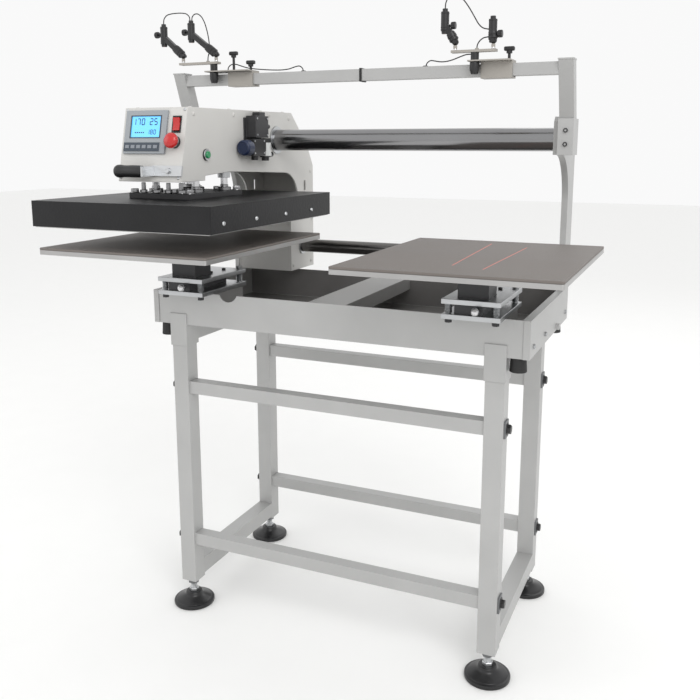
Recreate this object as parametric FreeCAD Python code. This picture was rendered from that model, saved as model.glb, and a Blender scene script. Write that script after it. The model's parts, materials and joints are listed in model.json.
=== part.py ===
"""Two-station pneumatic heat press with laser guides on a square-tube stand.

Lengths are millimetres.  The layout is worked out in stand coordinates: X runs
along the long side from the middle of the stand, Y runs back from the front
faces of the front legs, Z is the height above the floor.  save() moves every
piece so that the row's origin is the floor point below the middle of the machine.
"""
import FreeCAD
import Part
import math
import os

V = FreeCAD.Vector

# ---- origin: middle of the machine's overall length and depth, on the floor
ORIGIN = V(-3.5, 98.75, 0.0)

# ---- stand of square tube
LEG = 40.0
LEG_WALL = 2.0
STAND_W = 789.0
STAND_D = 424.0
LEG_BOTTOM = 63.0
SOCKET = 45.0
SOCKET_BOTTOM = 663.0
RAIL = 30.0
RAIL_WALL = 1.5
RAIL_BOTTOMS = (162.0, 547.0)
STRETCHER_BOTTOMS = (70.0, 672.0)
PLAY = 0.25

# ---- levelling feet
FOOT_R = 49.5
FOOT_EDGE = 9.0
STUD_R = 8.0
NUT_AF = 24.0
FOOT_TRAVEL = 20.0

# ---- tray that the stand carries
TRAY_HALF = 428.0
TRAY_D = 425.0
TRAY_BOTTOM = 714.0
TRAY_TOP = 792.0
SHEET = 3.0
WEB_HALF = 45.0
LAP_T = 3.0
LAP_UP = 26.0

# ---- end plates with the column and head that hold the guide tubes
PLATE = 14.0
PLATE_REAR = 432.0
COLUMN_FRONT = 362.0
HEAD_FRONT = 224.0
HEAD_LOW = 1104.0
HEAD_TOP = 1183.0

# ---- guide tubes
UPPER_Y, UPPER_Z, UPPER_R = 256.0, 1136.0, 25.0
LOWER_Y, LOWER_Z, LOWER_R = 392.0, 862.0, 17.0
RUNNING = 0.05

# ---- press stations
STATION_X = 334.0
PLATEN_W, PLATEN_D = 412.0, 500.0
PLATEN_Z = (899.0, 908.5)
PAD_TOP = 913.5
PED_W = 118.0
PED_Y = (-48.0, 140.0)
PED_LOWER_Z = (792.0, 802.0)
PED_UPPER_Z = (822.0, 832.0)

# ---- shuttle head
HEAD_X = -327.0
HEAD_HALF = 78.0
SIDE_T = 5.0
PANEL_TOP = (-115.0, 1201.0)
PANEL_BOTTOM = (-150.0, 1050.0)
PANEL_T = 3.0
HEAD_REAR = 456.0
HEAD_FOOT = 801.0
COLUMN_Y = 326.0

# ---- heat platen
HOT_W, HOT_D = 436.0, 525.0
HOT_Y = 4.0
HOT_Z = (957.0, 1012.0)
HOT_PLATE_T = 18.0
STROKE = 43.0

# ---- laser frame
POST = 30.0
POST_X = 458.0
POST_FOOT = (212.0, 1178.0)
POST_TOP = (171.0, 1291.0)
BAR = 25.0
BAR_Y, BAR_Z = 176.0, 1276.0
LASER_Y = 149.0

os.makedirs("parts", exist_ok=True)
saved = []


# ------------------------------------------------------------------ helpers
def box(x0, x1, y0, y1, z0, z1):
    return Part.makeBox(x1 - x0, y1 - y0, z1 - z0, V(x0, y0, z0))


def cyl(radius, start, axis, length):
    return Part.makeCylinder(radius, length, V(*start), V(*axis))


def fuse(first, *others):
    for other in others:
        first = first.fuse(other)
    return first.removeSplitter()


def bodies(*solids):
    return Part.makeCompound(list(solids))


def tube_box(x0, x1, y0, y1, z0, z1, wall, axis):
    """Square tube along one axis, open at both ends."""
    grow = [wall, wall, wall]
    grow["XYZ".index(axis)] = 0.0
    gx, gy, gz = grow
    return box(x0, x1, y0, y1, z0, z1).cut(box(x0 + gx, x1 - gx, y0 + gy, y1 - gy, z0 + gz, z1 - gz))


def prism(edges, direction):
    """Solid swept from a closed outline."""
    return Part.Face(Part.Wire(edges)).extrude(direction)


def polygon(points):
    closed = [V(*p) for p in points] + [V(*points[0])]
    return Part.makePolygon(closed).Edges


def hexagon(across, centre, axis, height):
    """Hex prism from a centre point along +Z or -Y/X given by axis."""
    radius = across / math.sqrt(3.0)
    ring = [V(radius * math.cos(math.radians(60 * k)), radius * math.sin(math.radians(60 * k)), 0) for k in range(6)]
    face = Part.Face(Part.makePolygon(ring + [ring[0]]))
    solid = face.extrude(V(0, 0, height))
    solid.Placement = FreeCAD.Placement(V(*centre), FreeCAD.Rotation(V(0, 0, 1), V(*axis)))
    return solid


def turned(profile, centre, axis):
    """Solid of revolution from (radius, height) points about an axis."""
    points = [V(r, 0, h) for r, h in profile]
    solid = Part.Face(Part.makePolygon(points + [points[0]])).revolve(V(0, 0, 0), V(0, 0, 1), 360)
    solid.Placement = FreeCAD.Placement(V(*centre), FreeCAD.Rotation(V(0, 0, 1), V(*axis)))
    return solid


def lead(route, radius):
    """Round lead along straight runs joined by the largest arcs that fit."""
    points = [V(*p) for p in route]
    edges = []
    at = points[0]
    tightest = 1e9
    for before, here, after in zip(points, points[1:], points[2:]):
        back = (before - here).normalize()
        on = (after - here).normalize()
        half_turn = (math.pi - back.getAngle(on)) / 2
        reach = 0.45 * min((before - here).Length, (after - here).Length)
        tightest = min(tightest, reach / math.tan(half_turn))
        start = here + back * reach
        end = here + on * reach
        bend = reach / math.tan(half_turn)
        centre = here + (back + on).normalize() * (bend / math.cos(half_turn))
        middle = centre + (here - centre).normalize() * bend
        edges.append(Part.LineSegment(at, start).toShape())
        edges.append(Part.Arc(start, middle, end).toShape())
        at = end
    edges.append(Part.LineSegment(at, points[-1]).toShape())
    path = Part.Wire(edges)
    section = Part.Wire(Part.Circle(points[0], points[1] - points[0], radius).toShape())
    solid = path.makePipeShell([section], True, False)
    ratio = solid.Volume / (math.pi * radius ** 2 * path.Length)
    print("lead %.0f mm, tightest radius %.1f mm, volume ratio %.3f" % (path.Length, tightest, ratio))
    return solid


def save(name, *solids):
    shape = bodies(*solids) if len(solids) > 1 else solids[0].copy()
    shape.translate(V(0, 0, 0) - ORIGIN)
    shape.exportStep("parts/%s.step" % name)
    saved.append((name, shape))


# ------------------------------------------------------------------ stand
leg_centres = [(sx * (STAND_W - LEG) / 2, y) for y in (LEG / 2, STAND_D - LEG / 2) for sx in (-1, 1)]
corner_names = ("front_left", "front_right", "rear_left", "rear_right")
inner_x = STAND_W / 2 - LEG

legs = []
for cx, cy in leg_centres:
    tube = tube_box(cx - LEG / 2, cx + LEG / 2, cy - LEG / 2, cy + LEG / 2, LEG_BOTTOM, TRAY_BOTTOM - 1, LEG_WALL, "Z")
    half = LEG / 2 - LEG_WALL
    end = box(cx - half, cx + half, cy - half, cy + half, LEG_BOTTOM, LEG_BOTTOM + 8)
    legs.append(fuse(tube, end).cut(cyl(STUD_R + RUNNING, (cx, cy, LEG_BOTTOM - 1), (0, 0, 1), 20)))
save("legs", *legs)

rails = []
for zb in RAIL_BOTTOMS:
    for y0 in (5.0, STAND_D - 5.0 - RAIL):
        rails.append(tube_box(-inner_x, inner_x, y0, y0 + RAIL, zb, zb + RAIL, RAIL_WALL, "X"))
stretchers = []
for zb in STRETCHER_BOTTOMS:
    for x0 in (-STAND_W / 2, STAND_W / 2 - LEG):
        low, high = (SOCKET, STAND_D - SOCKET) if zb > SOCKET_BOTTOM else (LEG, STAND_D - LEG)
        stretchers.append(tube_box(x0, x0 + LEG, low, high, zb, min(zb + LEG, TRAY_BOTTOM), LEG_WALL, "Y"))
save("stand_rails", *rails, *stretchers)

fasteners = []
for cx, cy in leg_centres:
    side = math.copysign(1.0, cx)
    face = side * STAND_W / 2
    for zb in RAIL_BOTTOMS:
        mid = zb + RAIL / 2
        x0, x1 = sorted((face, face + side * 4.0))
        washer_plate = box(x0, x1, cy - 13, cy + 13, mid - 18, mid + 18)
        head = hexagon(16.0, (face + side * 4.0, cy, mid), (side, 0, 0), 7.0)
        fasteners.append(fuse(washer_plate, head))
    nut = hexagon(NUT_AF, (cx, cy, LEG_BOTTOM - 11), (0, 0, 1), 11.0)
    fasteners.append(nut.cut(cyl(STUD_R + RUNNING, (cx, cy, LEG_BOTTOM - 12), (0, 0, 1), 14)))
save("stand_fasteners", *fasteners)

foot_profile = [(0, 0), (FOOT_R, 0), (FOOT_R, FOOT_EDGE - 2), (FOOT_R - 2, FOOT_EDGE), (22, 20), (18, 30), (STUD_R, 30), (0, 30)]
for (cx, cy), corner in zip(leg_centres, corner_names):
    pad = turned(foot_profile, (cx, cy, 0), (0, 0, 1))
    stud = cyl(STUD_R, (cx, cy, 30), (0, 0, 1), 70)
    save("levelling_foot_" + corner, fuse(pad, stud))

# ------------------------------------------------------------------ tray
outer = box(-TRAY_HALF, TRAY_HALF, 0, TRAY_D, TRAY_BOTTOM, TRAY_TOP)
cavity = box(-TRAY_HALF + SHEET, TRAY_HALF - SHEET, SHEET, TRAY_D - SHEET, TRAY_BOTTOM + SHEET, TRAY_TOP + 1)
pan = outer.cut(cavity)
notch = cyl(24.0, (-240.0, -1, TRAY_TOP + 8), (0, 1, 0), 6)
pan = pan.cut(notch)
sockets = []
for cx, cy in leg_centres:
    front = cy < STAND_D / 2
    y0, y1 = (0, SOCKET) if front else (STAND_D - SOCKET, STAND_D)
    x1 = math.copysign(STAND_W / 2 + 2.5, cx)
    x0 = x1 - math.copysign(SOCKET, cx)
    low, high = sorted((x0, x1))
    shell = box(low, high, y0, y1, SOCKET_BOTTOM, TRAY_BOTTOM)
    lap = box(low, high, -LAP_T, 0, SOCKET_BOTTOM, TRAY_BOTTOM + LAP_UP)
    if not front:
        lap.translate(V(0, STAND_D + LAP_T, 0))
    hole = box(cx - LEG / 2 - PLAY, cx + LEG / 2 + PLAY, cy - LEG / 2 - PLAY, cy + LEG / 2 + PLAY, SOCKET_BOTTOM - 1, TRAY_BOTTOM)
    sockets.append(shell.fuse(lap).cut(hole))
save("tray_body", fuse(pan, *sockets))

web = tube_box(-WEB_HALF, WEB_HALF, SHEET, TRAY_D - SHEET, TRAY_TOP - 34, TRAY_TOP - 2, 2.5, "Y")
pedestal_boxes = []
for station in (-STATION_X, STATION_X):
    block = box(station - 52, station + 52, SHEET, 136, TRAY_BOTTOM + SHEET, TRAY_TOP)
    inside = box(station - 52 + SHEET, station + 52 - SHEET, SHEET - 1, 136 - SHEET, TRAY_BOTTOM + 2 * SHEET, TRAY_TOP - SHEET)
    pedestal_boxes.append(block.cut(inside))
save("tray_beams", web, *pedestal_boxes)

buffer_profile = [(0, 0), (17.5, 0), (15.5, 30), (0, 30)]
buffers = []
for sx in (-1, 1):
    for y in (20.0, TRAY_D - 22.0):
        buffers.append(turned(buffer_profile, (sx * 416.0, y, TRAY_BOTTOM - 30), (0, 0, 1)))
buffers = [b.cut(s) for b, s in zip(buffers, [box(-STAND_W / 2 - 3, STAND_W / 2 + 3, -5, TRAY_D + 5, 600, TRAY_BOTTOM)] * 4)]
save("tray_buffers", *buffers)


# ------------------------------------------------------------------ end plates
def end_plate(side):
    """Base along the tray's end, column at the rear, head reaching forward round the upper tube."""
    fillet = 104.0
    x = side * TRAY_HALF
    curve_start = V(x, COLUMN_FRONT - fillet, HEAD_LOW)
    curve_end = V(x, COLUMN_FRONT, HEAD_LOW - fillet)
    turn = math.radians(45)
    middle = V(x, COLUMN_FRONT - fillet + fillet * math.sin(turn), HEAD_LOW - fillet + fillet * math.cos(turn))
    corners = [(COLUMN_FRONT, TRAY_TOP), (-2, TRAY_TOP), (-2, TRAY_BOTTOM), (PLATE_REAR, TRAY_BOTTOM),
               (PLATE_REAR, HEAD_TOP - 12), (PLATE_REAR - 12, HEAD_TOP), (HEAD_FRONT + 10, HEAD_TOP),
               (HEAD_FRONT, HEAD_TOP - 10), (HEAD_FRONT, HEAD_LOW)]
    points = [curve_end] + [V(x, y, z) for y, z in corners] + [curve_start]
    edges = [Part.LineSegment(a, b).toShape() for a, b in zip(points, points[1:])]
    edges.append(Part.Arc(curve_start, middle, curve_end).toShape())
    plate = prism(edges, V(side * PLATE, 0, 0))
    for y, z, r in ((UPPER_Y, UPPER_Z, UPPER_R), (LOWER_Y, LOWER_Z, LOWER_R)):
        plate = plate.cut(cyl(r + RUNNING, (x - side, y, z), (side, 0, 0), PLATE + 2))
    tie_bolt = hexagon(13.0, (side * (TRAY_HALF + PLATE), 283.0, 724.0), (side, 0, 0), 8.0)
    return fuse(plate, tie_bolt)


for side, name in ((-1, "end_plate_left"), (1, "end_plate_right")):
    save(name, end_plate(side))

reach = TRAY_HALF + PLATE - 1
for name, y, z, r, wall in (("guide_tube_upper", UPPER_Y, UPPER_Z, UPPER_R, 5.0),
                            ("guide_tube_lower", LOWER_Y, LOWER_Z, LOWER_R, 4.0)):
    bar = cyl(r, (-reach, y, z), (1, 0, 0), 2 * reach)
    save(name, bar.cut(cyl(r - wall, (-reach - 1, y, z), (1, 0, 0), 2 * reach + 2)))

# ------------------------------------------------------------------ laser frame
blocks = []
posts = []
lean = V(0, POST_TOP[0] - POST_FOOT[0], POST_TOP[1] - POST_FOOT[1])
for side in (-1, 1):
    x0, x1 = sorted((side * (TRAY_HALF + PLATE), side * (TRAY_HALF + PLATE + 32)))
    body = box(x0, x1, 190, 250, HEAD_LOW, POST_FOOT[1])
    screws = [cyl(3.5, ((x0 + x1) / 2, 187, HEAD_LOW + dz), (0, 1, 0), 4) for dz in (22, 50)]
    blocks.append(fuse(body, *screws))
    xc = side * POST_X
    ring = [(xc - POST / 2, POST_FOOT[0] - 16, POST_FOOT[1]), (xc + POST / 2, POST_FOOT[0] - 16, POST_FOOT[1]),
            (xc + POST / 2, POST_FOOT[0] + 16, POST_FOOT[1]), (xc - POST / 2, POST_FOOT[0] + 16, POST_FOOT[1])]
    column = prism(polygon(ring), lean)
    cap = box(xc - POST / 2 - 1, xc + POST / 2 + 1, POST_TOP[0] - 17, POST_TOP[0] + 17, POST_TOP[1], POST_TOP[1] + 3)
    posts.append(fuse(column, cap))
save("post_blocks", *blocks)

bar_end = POST_X - POST / 2
h = BAR / 2
bar = tube_box(-bar_end, bar_end, BAR_Y - h, BAR_Y + h, BAR_Z - h, BAR_Z + h, 2.0, "X")
for x in (-132.0, 160.0):
    bar = bar.cut(cyl(4.5, (x, BAR_Y, BAR_Z), (0, 0, 1), 20))
band = box(12, 17, BAR_Y - h - 2, BAR_Y + h + 2, BAR_Z - h - 2, BAR_Z + h + 2)
band = band.cut(box(11, 18, BAR_Y - h, BAR_Y + h, BAR_Z - h, BAR_Z + h))
save("laser_frame", fuse(bar, band, *posts))

# ------------------------------------------------------------------ pedestals and lower platens
plates, standoffs, spacers, platens, pads = [], [], [], [], []
for station in (-STATION_X, STATION_X):
    w = PED_W / 2
    for z0, z1 in (PED_LOWER_Z, PED_UPPER_Z):
        plates.append(box(station - w, station + w, PED_Y[0], PED_Y[1], z0, z1))
    for dx in (-w + 12, w - 12):
        for y in (PED_Y[0] + 12, PED_Y[1] - 12):
            post = cyl(5.0, (station + dx, y, PED_LOWER_Z[1]), (0, 0, 1), PED_UPPER_Z[0] - PED_LOWER_Z[1])
            standoffs.append(post)
            if y < 0:
                standoffs.append(hexagon(13.0, (station + dx, y, PED_LOWER_Z[0] - 8), (0, 0, 1), 8.0))
            else:
                standoffs.append(hexagon(13.0, (station + dx, y, PED_UPPER_Z[1]), (0, 0, 1), 8.0))
    spacers.append(box(station - 31, station + 31, -31, 31, PED_UPPER_Z[1], PLATEN_Z[0]))
    latch = box(station - 34, station + 22, PED_Y[0] + 6, PED_Y[1] - 30, PED_LOWER_Z[1], PED_UPPER_Z[0])
    latch = latch.cut(cyl(4.0 + RUNNING, (station + 12, PED_Y[0] + 5, 813), (0, 1, 0), 40))
    spacers.append(latch)
    x0, x1 = station - PLATEN_W / 2, station + PLATEN_W / 2
    platen = box(x0, x1, -PLATEN_D / 2, PLATEN_D / 2, *PLATEN_Z)
    corner_edges = [e for e in platen.Edges if abs(e.Vertexes[0].Z - e.Vertexes[-1].Z) > 1]
    platens.append(platen.makeFillet(4.0, corner_edges))
    pad = box(x0, x1, -PLATEN_D / 2, PLATEN_D / 2, PLATEN_Z[1], PAD_TOP)
    corner_edges = [e for e in pad.Edges if abs(e.Vertexes[0].Z - e.Vertexes[-1].Z) > 1]
    pads.append(pad.makeFillet(4.0, corner_edges))
save("pedestal_plates", *plates)
save("pedestal_bolts", *standoffs)
save("pedestal_blocks", *spacers)
save("lower_platens", *platens)
save("silicone_pads", *pads)
for station, name in ((-STATION_X, "lock_knob_left"), (STATION_X, "lock_knob_right")):
    stem = cyl(4.0, (station + 12, PED_Y[0] - 8, 813), (0, 1, 0), 40)
    ball = Part.makeSphere(8.0, V(station + 12, PED_Y[0] - 12, 813))
    save(name, fuse(stem, ball))


# ------------------------------------------------------------------ head shell
slope = math.atan2(PANEL_TOP[0] - PANEL_BOTTOM[0], PANEL_TOP[1] - PANEL_BOTTOM[1])
behind_panel = PANEL_T / math.cos(slope) + 0.05


def side_outline(x):
    arc_r = 74.0
    top_y, top_z = 296.0, 1056.0
    turn = math.radians(45)
    start = V(x, top_y, top_z)
    end = V(x, top_y + arc_r, top_z - arc_r)
    middle = V(x, top_y + arc_r * math.sin(turn), top_z - arc_r + arc_r * math.cos(turn))
    after = [(COLUMN_Y, 945), (COLUMN_Y, HEAD_FOOT), (HEAD_REAR, HEAD_FOOT), (HEAD_REAR, 1071),
             (431, 1111), (381, 1162), (335, 1204), (PANEL_TOP[0] + behind_panel, PANEL_TOP[1]),
             (PANEL_BOTTOM[0] + behind_panel, PANEL_BOTTOM[1]), (-60, 1050), (-59, 1060), (41, 1066)]
    points = [end] + [V(x, y, z) for y, z in after] + [start]
    edges = [Part.LineSegment(a, b).toShape() for a, b in zip(points, points[1:])]
    edges.append(Part.Arc(start, middle, end).toShape())
    return edges


left_face = HEAD_X - HEAD_HALF
right_face = HEAD_X + HEAD_HALF
sides = []
for x in (left_face, right_face - SIDE_T):
    cheek = prism(side_outline(x), V(SIDE_T, 0, 0))
    cheek = cheek.cut(cyl(UPPER_R + 8, (x - 1, UPPER_Y, UPPER_Z), (1, 0, 0), SIDE_T + 2))
    cheek = cheek.cut(cyl(LOWER_R + 6, (x - 1, LOWER_Y, LOWER_Z), (1, 0, 0), SIDE_T + 2))
    cheek = cheek.cut(box(x - 1, x + SIDE_T + 1, 402, 412, 1006, 1032))
    if x > HEAD_X:
        cheek = cheek.cut(cyl(8.1, (x - 1, -54.5, 1104), (1, 0, 0), SIDE_T + 2))
    sides.append(cheek)
save("head_side_plates", *sides)

in_left, in_right = left_face + SIDE_T, right_face - SIDE_T
cover_path = [(PANEL_TOP[0] + behind_panel, 1201), (335, 1204), (381, 1162), (431, 1111), (HEAD_REAR, 1071), (HEAD_REAR, HEAD_FOOT)]
skin = 2.0
inner_path = [(PANEL_TOP[0] + behind_panel, 1201 - skin), (334, 1204 - skin - 0.3), (379.5, 1160.6), (429.3, 1109.8), (HEAD_REAR - skin, 1070), (HEAD_REAR - skin, HEAD_FOOT)]
loop = [(in_left, y, z) for y, z in cover_path + inner_path[::-1]]
cover = prism(polygon(loop), V(in_right - in_left, 0, 0))

panel_out = V(0, -math.cos(slope), math.sin(slope))


def on_panel(x, z, out=0.0):
    """Point on the control panel's face at a height, moved out along its normal."""
    share = (PANEL_TOP[1] - z) / (PANEL_TOP[1] - PANEL_BOTTOM[1])
    y = PANEL_TOP[0] + share * (PANEL_BOTTOM[0] - PANEL_TOP[0])
    return V(x, y, z) + panel_out * out


def panel_box(x0, x1, z0, z1, out0, out1):
    """Box lying on the sloping panel between two heights and two stand-off distances."""
    a, b = on_panel(x0, z0, out0), on_panel(x0, z1, out0)
    c, d = on_panel(x0, z1, out1), on_panel(x0, z0, out1)
    return prism(polygon([a, b, c, d]), V(x1 - x0, 0, 0))


panel = panel_box(left_face, right_face, PANEL_BOTTOM[1], PANEL_TOP[1], -PANEL_T, 0)
ESTOP_X, ESTOP_Z = -271.0, 1130.0
ROCKER_X, ROCKER_Z = -271.0, 1166.0
panel = panel.cut(panel_box(ROCKER_X - 9, ROCKER_X + 9, ROCKER_Z - 15, ROCKER_Z + 15, -5, 1))
panel = panel.cut(Part.makeCylinder(8.1, 12, on_panel(ESTOP_X, ESTOP_Z, -6), panel_out))
save("control_panel", panel)

deck = box(in_left, in_right, -138, 60, 1068, 1080)
guide_spots = [(HEAD_X + dx, HOT_Y + dy) for dx in (-52, 52) for dy in (-62, 50)]
for gx, gy in guide_spots:
    deck = deck.cut(cyl(8.0 + RUNNING, (gx, gy, 1060), (0, 0, 1), 30))
deck = deck.cut(cyl(16.0 + RUNNING, (HEAD_X, HOT_Y, 1060), (0, 0, 1), 30))
bushes = []
for gx, gy in guide_spots:
    flange = turned([(8.0 + RUNNING, 0), (14, 0), (14, 16), (8.0 + RUNNING, 16)], (gx, gy, 1052), (0, 0, 1))
    bushes.append(flange)
save("cylinder_deck", deck)
barrel = cyl(52.0, (HEAD_X, HOT_Y, 1080), (0, 0, 1), 100)
barrel = barrel.cut(cyl(46.0, (HEAD_X, HOT_Y, 1088), (0, 0, 1), 84))
barrel = barrel.cut(cyl(16.0 + RUNNING, (HEAD_X, HOT_Y, 1079), (0, 0, 1), 12))
save("air_cylinder", barrel)

housings = []
for r, wall, y, z in ((UPPER_R, 8.0, UPPER_Y, UPPER_Z), (LOWER_R, 6.0, LOWER_Y, LOWER_Z)):
    for x0, x1 in ((left_face - 3, left_face + 32), (right_face - 32, right_face + 3)):
        sleeve = cyl(r + wall, (x0, y, z), (1, 0, 0), x1 - x0)
        housings.append(sleeve.cut(cyl(r + RUNNING, (x0 - 1, y, z), (1, 0, 0), x1 - x0 + 2)))
save("head_bushes", *bushes, *housings)

column = box(in_left, in_right, COLUMN_Y, COLUMN_Y + 3, HEAD_FOOT, 944)
bottom = box(in_left, in_right, COLUMN_Y + 3, HEAD_REAR - skin, HEAD_FOOT, HEAD_FOOT + 3)
save("head_cover", fuse(cover, column, bottom))

# ------------------------------------------------------------------ controls
bezel = panel_box(-397, -293, 1106, 1194, 0, 5)
bezel = bezel.cut(panel_box(-382, -308, 1138, 1183, 2.5, 6))
key_strip = panel_box(-396, -305, 1110.5, 1129, 5, 6.2)
save("control_bezel", fuse(bezel, key_strip))
save("display", panel_box(-382, -308, 1138, 1183, 2.5, 4))

rocker_frame = panel_box(ROCKER_X - 11, ROCKER_X + 11, ROCKER_Z - 17, ROCKER_Z + 17, 0, 2)
rocker_frame = rocker_frame.cut(panel_box(ROCKER_X - 8.8, ROCKER_X + 8.8, ROCKER_Z - 14.8, ROCKER_Z + 14.8, -1, 3))
estop_collar = Part.makeCylinder(13, 6, on_panel(ESTOP_X, ESTOP_Z, 0), panel_out)
estop_collar = estop_collar.cut(Part.makeCylinder(8.0, 8, on_panel(ESTOP_X, ESTOP_Z, -1), panel_out))
start_collar = cyl(12.5, (right_face, -54.5, 1104), (1, 0, 0), 3)
start_collar = start_collar.cut(cyl(8.1, (right_face - 1, -54.5, 1104), (1, 0, 0), 5))
save("control_collars", rocker_frame, estop_collar, start_collar)

rocker_centre = on_panel(ROCKER_X, ROCKER_Z, -6)
arc_top, arc_mid, arc_low = (on_panel(0, ROCKER_Z + 12.6, 6.0), on_panel(0, ROCKER_Z, 2.2), on_panel(0, ROCKER_Z - 12.6, 3.0))
back_low, back_top = on_panel(0, ROCKER_Z - 10, -8), on_panel(0, ROCKER_Z + 10, -8)
rocker_points = [V(ROCKER_X - 8, p.y, p.z) for p in (arc_top, arc_mid, arc_low, back_low, back_top)]
pivot = cyl(2.0, tuple(on_panel(ROCKER_X - 8.5, ROCKER_Z, 0)), (1, 0, 0), 17)
save("power_rocker", fuse(prism(polygon([tuple(p) for p in rocker_points]), V(16, 0, 0)), pivot))

stem = Part.makeCylinder(7.9, 14, on_panel(ESTOP_X, ESTOP_Z, -2), panel_out)
mushroom = turned([(0, 12), (15, 12), (16, 14), (16, 18), (13, 22), (6, 24.5), (0, 25)],
                  tuple(on_panel(ESTOP_X, ESTOP_Z, 0)), tuple(panel_out))
save("emergency_button", fuse(stem, mushroom))
cap = cyl(8.0, (right_face - 8, -54.5, 1104), (1, 0, 0), 15)
save("start_button", fuse(cap, turned([(0, 0), (8.0, 0), (6.5, 1.5), (0, 1.5)], (right_face + 7, -54.5, 1104), (1, 0, 0))))

GRIP_Z = 1071.5
plate_y = on_panel(0, GRIP_Z, 0).y
bracket = panel_box(-318, -246, 1061, 1082, 0, 5)
ear = box(-318, -313, plate_y - 43, plate_y - 3, 1061, 1082)
bolt_head = Part.makeCylinder(6, 4, on_panel(-279, GRIP_Z, 5), panel_out)
save("handle_bracket", fuse(bracket, ear, bolt_head))
grip_y = plate_y - 30
grip_profile = [(0, 0), (9, 0), (11.5, 4), (12.5, 22), (12.5, 46), (13.5, 60), (12.5, 68), (9, 71), (5, 71), (5, 75), (0, 75)]
save("handle_grip", turned(grip_profile, (-318, grip_y, GRIP_Z), (-1, 0, 0)))

# ------------------------------------------------------------------ air unit on the right cheek
unit_x = right_face + 3
INLET_Z = 1102.5
mounting = box(right_face, unit_x, 100, 176, 1106, 1186)
valve = box(unit_x, unit_x + 26, 108, 166, 1141, 1190)
coil = box(unit_x + 3, unit_x + 22, 132, 158, 1190, 1199)
elbow = cyl(5.5, (unit_x + 13, 166, 1167), (0, 1, 0), 22)
save("solenoid_valve", fuse(valve, coil, elbow, mounting))
regulator = box(unit_x, unit_x + 26, 96, 150, 1100, 1138)
vent = cyl(8.0, (unit_x + 13, 122, 1090), (0, 0, 1), 10)
neck = box(unit_x + 3, unit_x + 23, 150, 158, 1110, 1132)
trap = cyl(13.0, (unit_x + 13, 171, 1096), (0, 0, 1), 44)
drain = cyl(9.0, (unit_x + 13, 171, 1088), (0, 0, 1), 8)
inlet = cyl(6.0, (unit_x + 13, 183, INLET_Z), (0, 1, 0), 18)
inlet = inlet.cut(cyl(4.0, (unit_x + 13, 187, INLET_Z), (0, 1, 0), 15))
save("regulator_body", fuse(regulator, vent, neck, trap, drain, inlet))
knob_profile = [(0, 0), (9, 0), (9, 2), (17, 3), (18, 5), (18, 26), (16, 30), (0, 30)]
save("regulator_knob", turned(knob_profile, (unit_x + 15, 95.7, 1118), (0, -1, 0)))

# ------------------------------------------------------------------ heat platen and its guides
rods = [cyl(8.0, (gx, gy, 1024), (0, 0, 1), 110) for gx, gy in guide_spots]
ram = turned([(0, 0), (16, 0), (16, 126), (45.5, 126), (45.5, 141), (0, 141)], (HEAD_X, HOT_Y, HOT_Z[1] + 12), (0, 0, 1))
save("guide_rods", *rods, ram)
mount = box(HEAD_X - 78, HEAD_X + 78, -118, 88, HOT_Z[1], 1024)
studs = [cyl(6.0, (HEAD_X + dx, y, 1024), (0, 0, 1), 7) for dx in (-70, 70) for y in (-108, 78)]
save("mounting_plate", fuse(mount, *studs))
hx0, hx1 = HEAD_X - HOT_W / 2, HEAD_X + HOT_W / 2
hy0, hy1 = HOT_Y - HOT_D / 2, HOT_Y + HOT_D / 2
lid = box(hx0, hx1, hy0, hy1, HOT_Z[0] + 2, HOT_Z[1])
corner_edges = [e for e in lid.Edges if abs(e.Vertexes[0].Z - e.Vertexes[-1].Z) > 1]
lid = lid.makeFillet(3.0, corner_edges)
lid = lid.cut(box(hx0 + 2, hx1 - 2, hy0 + 2, hy1 - 2, HOT_Z[0], HOT_Z[1] - 4))
hot = box(hx0 + 4, hx1 - 4, hy0 + 4, hy1 - 4, HOT_Z[0], HOT_Z[0] + HOT_PLATE_T)
save("heating_plate", hot)
screw_heads = []
for x, out in ((hx1, 1), (hx0, -1)):
    for y in (-212, -88, 38, 164):
        screw_heads.append(turned([(0, 0), (4.5, 0), (3.5, 2), (0, 2)], (x, y, 977), (out, 0, 0)))
save("platen_housing", fuse(lid, *screw_heads))


# ------------------------------------------------------------------ laser guides
def clamp(x0, x1, plate_x0, plate_x1, knob_x, gland):
    """Saddle round the bar with a plate that carries the swivelling arm."""
    slack = h + 0.3
    saddle = box(x0, x1, BAR_Y - h - 4, BAR_Y + h + 4, BAR_Z - h - 4, BAR_Z + h + 4)
    saddle = saddle.cut(box(x0 - 1, x1 + 1, BAR_Y - slack, BAR_Y + slack, BAR_Z - slack, BAR_Z + slack))
    plate = box(plate_x0, plate_x1, LASER_Y - 11, BAR_Y + h + 4, BAR_Z + h + 4, BAR_Z + h + 7)
    knob = turned([(0, 0), (9, 0), (10, 3), (10, 16), (7, 25), (0, 25)], (knob_x, LASER_Y, BAR_Z + h + 4), (0, 0, -1))
    outlet = cyl(3.5, (gland[0], gland[1], BAR_Z + h + 7), (0, 0, 1), 3)
    return fuse(saddle, plate, knob, outlet)


def thumbscrew(x, base, height):
    stem = cyl(3.0, (x, BAR_Y, base), (0, 0, 1), height)
    bar = box(x - 11, x + 11, BAR_Y - 5, BAR_Y + 5, base + height, base + height + 9)
    hub = cyl(6.0, (x, BAR_Y, base + height - 5), (0, 0, 1), 5)
    return fuse(stem, bar, hub)


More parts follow.
